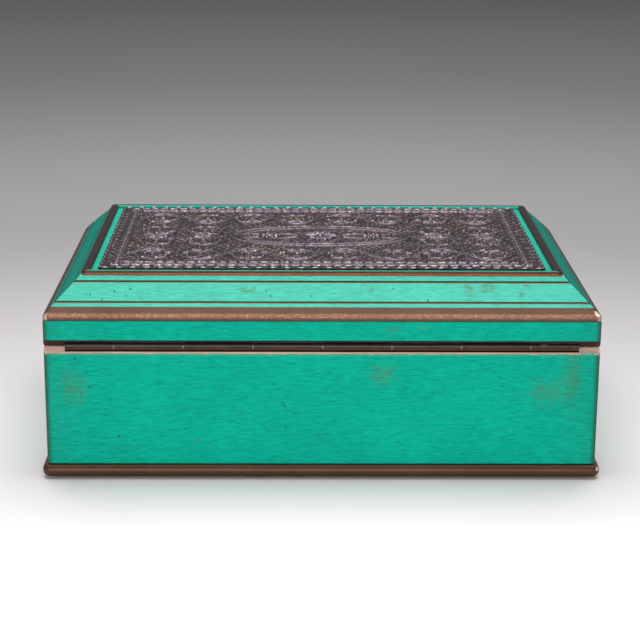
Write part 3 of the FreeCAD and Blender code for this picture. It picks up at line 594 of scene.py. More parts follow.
def relief_metal():
    """Embossed sheet: dark in its ground, pewter on its crests and gilt in worn patches, with silver on its
    crests and scalloped edges that is partly wear and partly a painted highlight.
    """
    paints = bpy.context.scene.cash_box_paint
    material, tree, shader, place = surface("relief_metal", Metallic=0.88)
    wear = grouped(tree, tarnish_group(), Vector=place, Scale=70.0)
    _, y, z = parts_of(tree, place)
    across = calc(tree, "ABSOLUTE", y)
    raised = ramp(tree, z, PANEL_LOW.z + bpy.context.scene.cash_box_relief.plate, PANEL_HIGH.z)
    tinted = blend(tree, raised, ink(54, 46, 51), paints.pewter)
    border = ramp(tree, across, PANEL_HIGH.y - 10 * MM, PANEL_HIGH.y - 4 * MM)
    hollow = times(tree, border, ramp(tree, raised, 0.6, 0.0))
    tinted = tinged(tree, tinted, hollow, 0.75, ink(30, 25, 29))
    gilt = times(tree, wear["Patches"], ramp(tree, wear["Specks"], 0.46, 0.6))
    tinted = tinged(tree, tinted, gilt, 0.35, paints.gilding)
    # Silver in patches on the crests and along the scalloped edges: worn metal and a painted highlight
    edge = ramp(tree, across, PANEL_HIGH.y - 2.6 * MM, PANEL_HIGH.y - 1.8 * MM)
    rubbed_and_lit = calc(tree, "MAXIMUM", ramp(tree, cloud(tree, place, 700.0, 3.0), 0.52, 0.66), edge)
    rubbed_and_lit = times(tree, rubbed_and_lit, ramp(tree, raised, 0.4, 0.7))
    tinted = tinged(tree, tinted, rubbed_and_lit, 0.7, ink(206, 198, 202))
    tinted = scaled(tree, tinted, spread(tree, wear["Specks"], 0.7, 0.55))
    grit = cloud(tree, place, 1400.0, 2.0)
    coated(tree, shader, tinted, spread(tree, wear["Specks"], 0.3, 0.22), grit, 0.12 * MM)
    return material


def hinge_bronze():
    """Oxidised bronze, greyer along its crown and browner along its foot as painted highlights, with painted
    pale highlights where the knuckles meet.
    """
    paints = bpy.context.scene.cash_box_paint
    pitch = bpy.context.scene.cash_box_hinge.pitch
    material, tree, shader, place = surface("hinge_bronze", Metallic=0.85)
    wear = grouped(tree, tarnish_group(), Vector=place, Scale=110.0)
    x, _, z = parts_of(tree, place)
    tinted = blend(tree, wear["Patches"], paints.bronze, ink(48, 36, 32))
    # Painted highlight: greyer along the top of the barrel
    crown = ramp(tree, z, HINGE_Z + 0.1 * BARREL_RADIUS, HINGE_Z + 0.6 * BARREL_RADIUS)
    tinted = tinged(tree, tinted, crown, 0.6, ink(104, 95, 102))
    # Painted highlight: lighter bronze along the bottom of the barrel
    foot = ramp(tree, z, HINGE_Z - 0.3 * BARREL_RADIUS, HINGE_Z - 0.6 * BARREL_RADIUS)
    tinted = tinged(tree, tinted, foot, 0.75, ink(172, 122, 82))
    # Painted highlight: pale lines where the knuckles meet
    along = calc(tree, "ABSOLUTE", calc(tree, "WRAP", x, pitch / 2, -pitch / 2))
    tinted = tinged(tree, tinted, ramp(tree, along, 0.4 * MM, 0.2 * MM), 0.6, ink(150, 140, 132))
    scrape = grouped(tree, blot_group(), Vector=place, Ragged=0.8, Core=0.4,
                     Place=(-94 * MM, HINGE_Y + BARREL_RADIUS, HINGE_Z + 0.75 * BARREL_RADIUS),
                     Spread=(2.2 * MM, 2 * MM, 0.35 * MM))
    tinted = tinged(tree, tinted, scrape["Mask"], 0.6, paints.chipped)
    coated(tree, shader, tinted, spread(tree, wear["Specks"], 0.3, 0.22), wear["Specks"], 0.04 * MM)
    return material


def felt():
    """Baize with a short uneven nap."""
    material, tree, shader, place = surface("felt", Specular_IOR_Level=0.15, Sheen_Weight=0.3)
    nap = cloud(tree, place, 1600.0, 3.0, 0.7)
    shade = spread(tree, nap, 0.7, spread(tree, cloud(tree, place, 35.0, 3.0), 0.5, 0.35))
    coated(tree, shader, scaled(tree, bpy.context.scene.cash_box_paint.baize, shade), 0.95, nap, 0.3 * MM)
    return material


def tab_leather():
    """Leather with a pebbled grain, darker where fingers take hold."""
    material, tree, shader, place = surface("tab_leather", Specular_IOR_Level=0.4)
    cells = node(tree, "ShaderNodeTexVoronoi", {"Vector": place, "Scale": 1100.0}).outputs["Distance"]
    worn = cloud(tree, place, 160.0, 3.0)
    shade = spread(tree, worn, 0.7, spread(tree, cells, 0.3, 0.5))
    tinted = scaled(tree, bpy.context.scene.cash_box_paint.leather, shade)
    coated(tree, shader, tinted, spread(tree, worn, 0.3, 0.4), cells, 0.1 * MM)
    return material


# How paint strokes and grain are drawn out, along X on the long sides and along Y on the short ones
ALONG_X, ALONG_Y = (240, 1900, 1900), (1900, 240, 1900)
GRAIN_X, GRAIN_Y = (18, 240, 240), (240, 18, 240)


def board_finishes(kind, side):
    """The three finishes of a painted board: paint, bare wood, and dark wood as painted shade or a scored
    line.
    """
    paints = bpy.context.scene.cash_box_paint
    stretch, grain = (ALONG_X, GRAIN_X) if side in LONG_SIDES else (ALONG_Y, GRAIN_Y)
    key = f"{kind}_{side}"
    rear = side == "rear"
    bare = wood(f"{key}_bare_wood", paints.bare, grain, roughness=0.6, scarred=key == "wall_rear")
    if kind == "slope":
        # The short slopes take the darker green as painted shade
        tint, gloss = (paints.mint, 0.32) if side in LONG_SIDES else (paints.shaded_teal, 0.02)
        marked = {"pits": SLOPE_PITS, "stains": SLOPE_STAINS, "soiling": 0.85} if rear else {}
        line = copper_paint(f"{key}_line", paints.line, stretch, HALF_WIDTH, HALF_DEPTH, reach=MM)
        return [green_paint(key, tint, stretch, gloss, **marked), bare, line]
    marked = {}
    if rear and kind == "wall":
        marked = {"pits": WALL_PITS, "nicks": WALL_NICKS, "stains": WALL_STAINS,
                  "bare_above": WALL_HIGH.z - bpy.context.scene.cash_box_joinery.groove}
    elif rear:
        marked = {"stains": RAIL_STAINS}
    # Painted shade: dark wood for the faces in the hinge's groove and mortise
    shade_painted = wood(f"{key}_stained_wood", paints.stain, grain, roughness=0.7)
    return [green_paint(key, paints.jade, stretch, gloss=0.06, **marked), bare, shade_painted]


def copper_finish(kind, side, tint, overhang, reach, **wear):
    """Copper paint of one side of the base, the band, the bead or its skirt."""
    stretch = ALONG_X if side in LONG_SIDES else ALONG_Y
    return copper_paint(f"{kind}_{side}", tint, stretch, HALF_WIDTH + overhang, HALF_DEPTH + overhang, reach,
                        **wear)


def corner_knock(inset, z, size):
    """A chip at the rear left corner: how far in from the corner of the case, how high and how large."""
    return (inset - HALF_WIDTH, HALF_DEPTH - inset, z), (size, size, size)


# Meshes
def piece_from(bm, name):
    """An object of a finished bmesh, at the origin."""
    bmesh.ops.recalc_face_normals(bm, faces=bm.faces)
    mesh = bpy.data.meshes.new(name)
    bm.to_mesh(mesh)
    bm.free()
    piece = bpy.data.objects.new(name, mesh)
    bpy.context.scene.collection.objects.link(piece)
    return piece


def applied(piece):
    """Gives a piece the plain mesh that its modifiers make of it."""
    graph = bpy.context.evaluated_depsgraph_get()
    mesh = bpy.data.meshes.new_from_object(piece.evaluated_get(graph))
    old = piece.data
    piece.modifiers.clear()
    piece.data = mesh
    bpy.data.meshes.remove(old)
    mesh.name = piece.name
    return piece


def volume(piece):
    """How much space a piece fills."""
    bm = bmesh.new()
    bm.from_mesh(piece.data)
    amount = bm.calc_volume(signed=True)
    bm.free()
    return amount


def cut(piece, cutters):
    """Takes cutters out of a piece and clears them away."""
    for cutter in cutters:
        trim = piece.modifiers.new(cutter.name, "BOOLEAN")
        trim.operation = "DIFFERENCE"
        trim.solver = "EXACT"
        trim.object = cutter
    before = volume(piece)
    applied(piece)
    if not 0 < volume(piece) < 1.001 * before:
        raise RuntimeError(f"cutting {piece.name} went wrong")
    for cutter in cutters:
        bpy.data.objects.remove(cutter)
    return piece


def settled(piece, body, nodes, finishes, sharp=40):
    """Shades a piece, gives it its finishes and puts it on its body in place of the frame's nodes."""
    for finish in finishes:
        piece.data.materials.append(finish)
    piece.data.polygons.foreach_set("use_smooth", [True] * len(piece.data.polygons))
    piece.data.set_sharp_from_angle(angle=math.radians(sharp))
    weighted = piece.modifiers.new("even_shading", "WEIGHTED_NORMAL")
    weighted.keep_sharp = True
    applied(piece)
    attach(piece, body)
    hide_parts(*nodes)
    return piece


def eased_node(node_name, name, body, finish, width, segments=2, sharp=30):
    """A node of the frame with its edges eased, settled in its place."""
    piece = piece_from(softened(node_name, width, segments), name)
    return settled(piece, body, [node_name], [finish], sharp)


def dressed(finish, *node_names):
    """Gives nodes of the frame their finish as they are."""
    for node_name in node_names:
        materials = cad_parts[node_name].data.materials
        materials.clear()
        materials.append(finish)


def side_point(side, along, inset, z):
    """A point of one side: along it, inwards from the case's face, and up."""
    face = HALF_DEPTH if side in LONG_SIDES else HALF_WIDTH
    turned = Matrix.Rotation(math.radians(90 * SIDES.index(side)), 4, "Z")
    return turned @ Vector((along, inset - face, z))


def rounded_ring(corners, segments=3):
    """A section from (inset, z, radius, finish) corners; a finish is that of the face after its corner."""
    ring = []
    for k, (inset, z, radius, finish) in enumerate(corners):
        here = Vector((inset, z))
        if radius <= 0:
            ring.append((inset, z, finish))
            continue
        before = (Vector(corners[k - 1][:2]) - here).normalized()
        after = (Vector(corners[(k + 1) % len(corners)][:2]) - here).normalized()
        half = before.angle(after) / 2
        centre = here + (before + after).normalized() * (radius / math.sin(half))
        reach = radius / math.tan(half)
        start = (here + before * reach - centre).normalized()
        end = (here + after * reach - centre).normalized()
        for step in range(segments + 1):
            point = centre + start.slerp(end, step / segments) * radius
            ring.append((point.x, point.y, finish if step == segments else min(finish, corners[k - 1][3])))
    return ring


def skinned(bm, rows, finishes, ends):
    """A closed skin over rows of points; a finish is that of the face after its point."""
    for left, right in zip(rows[:-1], rows[1:]):
        for k, finish in enumerate(finishes):
            n = (k + 1) % len(finishes)
            bm.faces.new((left[k], left[n], right[n], right[k])).material_index = finish
    for row in (rows[0], rows[-1]):
        bm.faces.new(row).material_index = ends
    bmesh.ops.recalc_face_normals(bm, faces=bm.faces)
    return bm


# Distances of a strip's closer sections from its mitre
MITRE_STEPS = [step * MM for step in (6.0, 4.0, 2.6, 1.7, 1.2, 0.9, 0.6, 0.3, 0.0)]


def strip(side, ring, corner=0.0, step=4 * MM):
    """A closed strip of one section along a side, mitred at both ends, with its outer corners rounded."""
    half = HALF_WIDTH if side in LONG_SIDES else HALF_DEPTH
    outermost, deepest = min(row[0] for row in ring), max(row[0] for row in ring)
    reach = half - deepest - MITRE_STEPS[0] - MM
    count = round(2 * reach / step)
    straight = [reach * (2 * k / count - 1) for k in range(count + 1)]
    stations = [(-1, place) for place in reversed(MITRE_STEPS)] + [(0, place) for place in straight]
    stations += [(1, place) for place in MITRE_STEPS]
    bm = bmesh.new()
    rows = []
    for end, place in stations:
        row = []
        for inset, z, _ in ring:
            along, depth = place, inset
            radius = outermost + corner - inset
            if end and radius > 0:
                along = half - outermost - place
                if place < corner:
                    turn = math.radians(45) * (1 - place / corner)
                    along = half - outermost - corner + radius * math.sin(turn)
                    depth = outermost + corner - radius * math.cos(turn)
            elif end:
                along = half - inset - place
            row.append(bm.verts.new(side_point(side, (end or 1) * along, depth, z)))
        rows.append(row)
    finishes = [finish for _, _, finish in ring]
    return skinned(bm, rows, finishes, min(WOOD, max(finishes)))


def weathered(bm, depth, waves=90.0, corners=0.0):
    """Moves a mesh inwards by an uneven depth, and by more near the upright corners of the box."""
    bm.normal_update()
    reach = 4 * MM
    for vert in bm.verts:
        ripple = 0.5 + 0.5 * noise.noise(vert.co * waves)
        dent = max(0.0, noise.noise(vert.co * waves * 3 + Vector((7, 3, 5))) - 0.25)
        near, away = sorted((HALF_WIDTH - abs(vert.co.x), HALF_DEPTH - abs(vert.co.y)))
        rub = corners * max(0.0, 1 - away / reach) if near < reach else 0.0
        vert.co -= vert.normal * depth * (ripple + dent + rub)
    return bm


def block(low, high, finish=WOOD):
    """A box between two corners, as a bmesh."""
    bm = bmesh.new()
    bmesh.ops.create_cube(bm, size=1.0)
    for vert in bm.verts:
        vert.co = Vector([low[k] if vert.co[k] < 0 else high[k] for k in range(3)])
    for face in bm.faces:
        face.material_index = finish
    return bm


def groove_cutter(name, finish):
    """The V of the rear edges, its lips torn here and there."""
    joinery = bpy.context.scene.cash_box_joinery
    past = 2 * MM
    root = HALF_DEPTH - joinery.groove
    half = HALF_WIDTH + past
    count = 240
    bm = bmesh.new()
    rows = []
    for k in range(count + 1):
        x = half * (2 * k / count - 1)
        torn = [max(0.0, noise.noise(Vector((x * 420, seed, 0)))) * joinery.ragged for seed in (1.3, 8.7)]
        points = ((root, WALL_HIGH.z), (HALF_DEPTH + past, WALL_HIGH.z - joinery.groove - past - torn[0]),
                  (HALF_DEPTH + past, RAIL_LOW.z + joinery.lid_groove + past + torn[1]), (root, RAIL_LOW.z))
        rows.append([bm.verts.new((x, y, z)) for y, z in points])
    return piece_from(skinned(bm, rows, [finish] * len(points), finish), name)


def mortise_cutter(name):
    """The bed of the hinge's leaves with the cove round its barrel."""
    gap = bpy.context.scene.cash_box_joinery.mortise_gap
    half = HINGE_HALF + 0.1 * MM
    front, rear = CASE_LEAF_LOW.y - gap / 2, HALF_DEPTH + 2 * MM
    cove = BARREL_RADIUS + gap
    foot = math.asin(BARREL_RADIUS / cove)
    steps = 12
    under = []
    for k in range(steps + 1):
        turn = math.pi + foot + (math.pi - 2 * foot) * k / steps
        under.append((HINGE_Y + cove * math.cos(turn), HINGE_Z + cove * math.sin(turn)))
    over = [(y, 2 * HINGE_Z - z) for y, z in reversed(under)]
    low, high = HINGE_Z - BARREL_RADIUS, HINGE_Z + BARREL_RADIUS
    section = [(front, low)] + under + [(rear, low), (rear, high)] + over + [(front, high)]
    bm = bmesh.new()
    ends = [[bm.verts.new((x, y, z)) for y, z in section] for x in (-half, half)]
    # The bed's faces take the dark wood of painted shade
    return piece_from(skinned(bm, ends, [SHADE_PAINTED] * len(section), SHADE_PAINTED), name)


def lock_cutters():
    """The lock's bed in the front wall, and the keyhole."""
    past = 2 * MM
    clearance = 0.1 * MM
    hole_radius = 2.4 * MM
    slot_half = 1.2 * MM
    slot_drop = 6 * MM
    centre = (KEY_LOW.x + KEY_HIGH.x) / 2
    key_z = (KEY_LOW.z + KEY_HIGH.z) / 2
    plate = block((LOCK_LOW.x, CAP_HIGH.y, LOCK_LOW.z), (LOCK_HIGH.x, LOCK_HIGH.y + past, LOCK_HIGH.z + past))
    body = block(CAP_LOW - Vector((1, 1, 1)) * clearance,
                 (CAP_HIGH.x + clearance, CAP_HIGH.y + past, LOCK_HIGH.z + past))
    selvedge = block((LOCK_LOW.x, LOCK_LOW.y, CAP_HIGH.z), (LOCK_HIGH.x, LOCK_HIGH.y, LOCK_HIGH.z + past))
    hole = bmesh.new()
    through = Matrix.Translation((centre, CAP_LOW.y - WALL / 2, key_z))
    through @= Matrix.Rotation(math.radians(90), 4, "X")
    bmesh.ops.create_cone(hole, cap_ends=True, segments=32, radius1=hole_radius, radius2=hole_radius,
                          depth=2 * WALL, matrix=through)
    for face in hole.faces:
        face.material_index = WOOD
    slot = block((centre - slot_half, -HALF_DEPTH - past, key_z - slot_drop),
                 (centre + slot_half, CAP_LOW.y + past, key_z))
    named = {"plate": plate, "body": body, "selvedge": selvedge, "keyhole": hole, "key_slot": slot}
    return [piece_from(bm, f"lock_{label}") for label, bm in named.items()]


def hook_cutters():
    """The hook plate's bed in the front rail."""
    bed = block((HOOK_LOW.x, HOOK_LOW.y, RAIL_LOW.z - MM), (HOOK_HIGH.x, HOOK_HIGH.y + MM, HOOK_HIGH.z))
    return [piece_from(bed, "hook_bed")]


def cut_board(side, name, corners, bared, front_cutters):
    """A worn board of one side, cut for its fitting in front and for the groove and the hinge elsewhere.

    The groove bares a finish of the board's wood.
    """
    joinery = bpy.context.scene.cash_box_joinery
    bm = strip(side, rounded_ring(corners), joinery.corner)
    board = piece_from(weathered(bm, joinery.wear), name)
    if side == "front":
        return cut(board, front_cutters())
    cutters = [groove_cutter(f"{side}_groove", bared)]
    if side == "rear":
        cutters.append(mortise_cutter("hinge_mortise"))
    return cut(board, cutters)


def plan_ring(half_width, half_depth, radius, counts, segments):
    """A rectangle in plan with rounded corners, as (x, y) points that match from ring to ring."""
    points = []
    for quarter in range(4):
        turn = math.radians(90 * quarter)
        long_side = quarter % 2 == 0
        across, away = (half_width, half_depth) if long_side else (half_depth, half_width)
        count = counts[0] if long_side else counts[1]
        for k in range(count):
            share = k / count
            x, y = -(across - radius) + 2 * (across - radius) * share, -away
            points.append((x, y))
        for k in range(segments):
            bend = math.radians(90) * k / segments
            x, y = across - radius + radius * math.sin(bend), -away + radius - radius * math.cos(bend)
            points.append((x, y))
        start = len(points) - count - segments
        points[start:] = [(x * math.cos(turn) - y * math.sin(turn), x * math.sin(turn) + y * math.cos(turn))
                          for x, y in points[start:]]
    return points


def slab(rows, corner, segments=6, step=4 * MM):
    """A closed slab from (inset, z, finish) rows, bottom to top; each ring is a rectangle in plan."""
    outer = min(row[0] for row in rows)
    counts = [max(1, round(2 * (half - outer) / step)) for half in (HALF_WIDTH, HALF_DEPTH)]
    bm = bmesh.new()
    rings = []
    for inset, z, _ in rows:
        radius = max(corner - (inset - outer), 0.2 * MM) if corner else 0.0
        points = plan_ring(HALF_WIDTH - inset, HALF_DEPTH - inset, radius, counts, segments if corner else 0)
        rings.append([bm.verts.new((x, y, z)) for x, y in points])
    for (low, high), row in zip(zip(rings[:-1], rings[1:]), rows):
        for k in range(len(low)):
            n = (k + 1) % len(low)
            bm.faces.new((low[k], low[n], high[n], high[k])).material_index = row[2]
    bm.faces.new(list(reversed(rings[0]))).material_index = rows[0][2]
    bm.faces.new(rings[-1]).material_index = rows[-1][2]
    bmesh.ops.recalc_face_normals(bm, faces=bm.faces)
    return bm


def softened(node_name, width, segments=2):
    """A bmesh of a frame's node with its sharp edges eased."""
    bm = bmesh.new()
    bm.from_mesh(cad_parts[node_name].data)
    bmesh.ops.remove_doubles(bm, verts=bm.verts, dist=0.001 * MM)
    bmesh.ops.dissolve_limit(bm, angle_limit=math.radians(1), verts=bm.verts, edges=bm.edges)
    edges = [e for e in bm.edges if len(e.link_faces) == 2 and e.calc_face_angle() > math.radians(35)]
    bmesh.ops.bevel(bm, geom=edges, offset=width, segments=segments, affect="EDGES", profile=0.6,
                    clamp_overlap=True)
    for face in bm.faces:
        face.material_index = 0
    return bm


# Operators
class CASHBOX_OT_stage(bpy.types.Operator):
    """Floor, lights and the camera at the photographed side"""
    bl_idname = "cash_box.stage"
    bl_label = "Stage"

    def execute(self, context):
        settings = context.scene.cash_box_stage
        self.floor(settings)
        self.lights(context, settings)
        self.camera(context, settings)
        context.scene.view_settings.view_transform = "Standard"
        return {"FINISHED"}

    def floor(self, settings):
        """A round floor that fades to grey behind the box, as a painted falloff of the light."""
        bm = bmesh.new()
        bmesh.ops.create_circle(bm, cap_ends=True, segments=96, radius=settings.floor_radius,
                                matrix=Matrix.Translation((0, 0, -0.1 * MM)))
        floor = piece_from(bm, "floor")
        material, tree, shader, place = surface("floor", Roughness=0.9, Specular_IOR_Level=0.0)
        # Painted light: the floor darkens with distance from a point on the camera's side, as a painted pool
        # of light
        away = vector_calc(tree, "DISTANCE", place, (0.0, 0.3, 0.0)).outputs["Value"]
        share = spread(tree, ramp(tree, away, 0.08, 0.72), 0.8, times(tree, ramp(tree, away, 0.5, 1.5), 0.2))
        painted_falloff = blend(tree, share, settings.floor_colour, settings.far_painted_shade)
        feed(tree, shader.inputs["Base Color"], painted_falloff)
        floor.data.materials.append(material)

    def lights(self, context, settings):
        """Even light from the room, and two softboxes."""
        world = bpy.data.worlds.new("soft_room")
        context.scene.world = world
        world.use_nodes = True
        world.node_tree.nodes["Background"].inputs["Color"].default_value = (*settings.room_colour, 1)
        self.softbox("overhead_softbox", settings.overhead_power, place=(0, -0.35, 1.5),
                     target=(0, -0.1, 0.05), size=(1.6, 1.6))
        self.softbox("fill_softbox", settings.fill_power, place=(0.3, 2.2, 0.6), target=(0, 0, 0.05),
                     size=(2.0, 1.0))

    def softbox(self, name, power, place, target, size):
        """A rectangular lamp that faces a target."""
        light = bpy.data.lights.new(name, "AREA")
        light.shape = "RECTANGLE"
        light.size, light.size_y = size
        light.energy = power
        lamp = bpy.data.objects.new(name, light)
        lamp.location = place
        lamp.rotation_euler = (Vector(target) - Vector(place)).to_track_quat("-Z", "Y").to_euler()
        bpy.context.scene.collection.objects.link(lamp)

    def camera(self, context, settings):
        """The camera, turned from the rear face by its yaw, pitch and roll."""
        view = bpy.data.cameras.new("camera")
        view.sensor_width = settings.camera_sensor
        view.lens = settings.camera_lens
        view.clip_start = 0.01
        camera = bpy.data.objects.new("camera", view)
        pitch, yaw, roll = settings.camera_pitch, settings.camera_yaw, settings.camera_roll
        ahead = Vector((-math.sin(yaw) * math.cos(pitch), -math.cos(yaw) * math.cos(pitch), -math.sin(pitch)))
        right = Vector((-math.cos(yaw), math.sin(yaw), 0))
        up = right.cross(ahead)
        leaned = right * math.cos(roll) + up * math.sin(roll)
        upright = up * math.cos(roll) - right * math.sin(roll)
        turn = Matrix((leaned, upright, -ahead)).transposed().to_4x4()
        camera.matrix_world = Matrix.Translation(settings.camera_place) @ turn
        context.scene.collection.objects.link(camera)
        context.scene.camera = camera


class CASHBOX_OT_base_board(bpy.types.Operator):
    """Base board with its bullnosed edge"""
    bl_idname = "cash_box.base_board"
    bl_label = "Base board"

    def execute(self, context):
        joinery = context.scene.cash_box_joinery
        edge, flat, radius = -BASE_OVERHANG, joinery.base_flat, joinery.bullnose
        rows = rounded_ring([(flat, BASE_LOW.z, 0, PAINT), (edge, BASE_LOW.z, radius, PAINT),
                             (edge, BASE_HIGH.z, radius, PAINT), (flat, BASE_HIGH.z, 0, PAINT)], segments=6)
        bm = weathered(slab(rows, joinery.base_corner), joinery.wear, waves=70.0, corners=2.0)
        knock = corner_knock(inset=1.0 * MM - BASE_OVERHANG, z=BASE_HIGH.z - 1.6 * MM, size=1.5 * MM)
        finish = copper_finish("base", "rear", context.scene.cash_box_paint.umber, BASE_OVERHANG,
                               reach=3.2 * MM, knock=knock)
        settled(piece_from(bm, "base_moulded_board"), "case", ["base_board"], [finish])
        return {"FINISHED"}


class CASHBOX_OT_case_walls(bpy.types.Operator):
    """Four mitred walls of the case"""
    bl_idname = "cash_box.case_walls"
    bl_label = "Case walls"

    def execute(self, context):
        joinery = context.scene.cash_box_joinery
        low, high, ease = WALL_LOW.z, WALL_HIGH.z, joinery.arris
        corners = [(0, low, ease, PAINT), (0, high, ease, WOOD), (WALL, high, ease, WOOD),
                   (WALL, low, 0, WOOD)]
        for side in SIDES:
            wall = cut_board(side, f"case_{side}_board", corners, WOOD, lock_cutters)
            settled(wall, "case", [f"case_{side}_wall"], board_finishes("wall", side))
        return {"FINISHED"}


class CASHBOX_OT_lid_rails(bpy.types.Operator):
    """Four mitred rails at the foot of the lid"""
    bl_idname = "cash_box.lid_rails"
    bl_label = "Lid rails"

    def execute(self, context):
        joinery = context.scene.cash_box_joinery
        low, high, ease = RAIL_LOW.z, RAIL_HIGH.z, joinery.arris
        corners = [(0, low, ease, PAINT), (0, high, ease, WOOD), (WALL, high, 0, WOOD),
                   (WALL, low, ease, WOOD)]
        for side in SIDES:
            # The groove bares dark wood as painted shade
            rail = cut_board(side, f"lid_{side}_rail_board", corners, SHADE_PAINTED, hook_cutters)
            settled(rail, "lid", [f"lid_{side}_rail"], board_finishes("rail", side))
        return {"FINISHED"}


class CASHBOX_OT_lid_bands(bpy.types.Operator):
    """Chamfered shoulder above the rails"""
    bl_idname = "cash_box.lid_bands"
    bl_label = "Lid bands"

    def execute(self, context):
        joinery = context.scene.cash_box_joinery
        low, high = BAND_LOW.z, BAND_HIGH.z
        edge = low + joinery.upright
        section = rounded_ring([(0, low, joinery.arris, PAINT), (0, edge, joinery.shoulder, PAINT),
                                (joinery.slope_foot, high, 0, PAINT), (WALL, high, 0, PAINT),
                                (WALL, low, 0, PAINT)], segments=6)
        # Painted light: a highlight along the worn shoulder and painted shade on the chamfer above it, deeper
        # on the short sides
        crest = (low + 0.5 * MM, edge + 0.2 * MM, edge + 1.4 * MM)
        knock = corner_knock(inset=1.6 * MM, z=edge + 1.2 * MM, size=1.9 * MM)
        for side in SIDES:
            bm = weathered(strip(side, section, joinery.corner), joinery.wear, waves=80.0, corners=3.0)
            band = piece_from(bm, f"lid_{side}_shoulder")
            finish = copper_finish("band", side, context.scene.cash_box_paint.copper, overhang=0.0,
                                   reach=4.2 * MM, crest=crest, shadow=0.62 if side in LONG_SIDES else 0.35,
                                   flecked=0.6, knock=knock)
            settled(band, "lid", [f"lid_{side}_band"], [finish])
        return {"FINISHED"}


class CASHBOX_OT_lid_slopes(bpy.types.Operator):
    """Four sloped boards with two scored lines"""
    bl_idname = "cash_box.lid_slopes"
    bl_label = "Lid slopes"

    def execute(self, context):
        joinery = context.scene.cash_box_joinery
        foot = Vector((joinery.slope_foot, SLOPE_LOW.z))
        top = Vector((SLOPE_TOP_INSET, SLOPE_HIGH.z))
        head = (top - foot).length
        up = (top - foot) / head
        inwards = Vector((up.y, -up.x))
        lower = joinery.score_place * math.sqrt(2)
        half = joinery.score / 2
        ease = joinery.score_ease

        def on_slope(run, depth):
            return foot + up * run + inwards * depth

        corners = [
            (*on_slope(0, 0), 0, PAINT),
            (*on_slope(lower - half, 0), ease, LINE),
            (*on_slope(lower - half, half), 0, LINE),
            (*on_slope(lower + half, half), 0, LINE),
            (*on_slope(lower + half, 0), ease, PAINT),
            (*on_slope(head - half, 0), ease, LINE),
            (*on_slope(head - half, half), 0, LINE),
            (SLOPE_TOP_INSET + half * math.sqrt(2), SLOPE_HIGH.z, 0, WOOD),
            (SLOPE_TOP_INSET + joinery.slope_board, SLOPE_HIGH.z, 0, WOOD),
            (BAND_INSET + joinery.slope_board, SLOPE_LOW.z, 0, WOOD),
        ]
        for side in SIDES:
            bm = weathered(strip(side, rounded_ring(corners, segments=2)), joinery.wear * 0.6)
            slope = piece_from(bm, f"lid_{side}_sloped_board")
            finishes = board_finishes("slope", side)
            settled(slope, "lid", [f"lid_{side}_slope"], finishes, sharp=30)
        return {"FINISHED"}


class CASHBOX_OT_lid_top_board(bpy.types.Operator):
    """Top board whose bevelled lip ends the slopes"""
    bl_idname = "cash_box.lid_top_board"
    bl_label = "Lid top board"

    def execute(self, context):
        joinery = context.scene.cash_box_joinery
        paints = context.scene.cash_box_paint
        half = joinery.score / 2
        body = SLOPE_TOP_INSET + joinery.slope_board + 0.1 * MM
        notch = half * math.sqrt(2)
        lip = Vector((SLOPE_TOP_INSET + notch / 2, SLOPE_HIGH.z + notch / 2))
        head = Vector((BEAD_INSET, TOP_HIGH.z))
        skirt = head.lerp(lip, joinery.bead_skirt / (head.y - lip.y))
        rows = [
            (body, TOP_LOW.z, WOOD),
            (body, SLOPE_HIGH.z, WOOD),
            (SLOPE_TOP_INSET + notch, SLOPE_HIGH.z, LINE),
            (*lip, LONG_LIP),
            (*skirt, SKIRT),
            (*head, PAINT),
            (BEAD_INSET + BEAD_WIDTH, TOP_HIGH.z, PAINT),
        ]
        bm = weathered(slab(rows, corner=0.0), joinery.wear * 0.4)
        for face in bm.faces:
            if face.material_index == LONG_LIP and abs(face.normal.x) > abs(face.normal.y):
                face.material_index = SHORT_LIP
        paint = green_paint("top_board", paints.jade, ALONG_X, gloss=0.2)
        long_lip = green_paint("top_board_long_lip", paints.mint, ALONG_X, gloss=0.25)
        # The short lips take the darker green as painted shade
        short_lip = green_paint("top_board_short_lip", paints.shaded_teal, ALONG_Y, gloss=0.05)
        bare = wood("top_board_bare_wood", paints.bare, GRAIN_X, roughness=0.6)
        line = copper_paint("top_board_line", paints.line, ALONG_X, HALF_WIDTH, HALF_DEPTH, reach=MM)
        copper = copper_finish("skirt", "rear", paints.russet, -BEAD_INSET, reach=0.8 * MM, gloss=0.1)
        finishes = [paint, bare, line, long_lip, short_lip, copper]
        board = piece_from(bm, "lid_top_panel_board")
        settled(board, "lid", ["lid_top_board"], finishes, sharp=30)
        return {"FINISHED"}


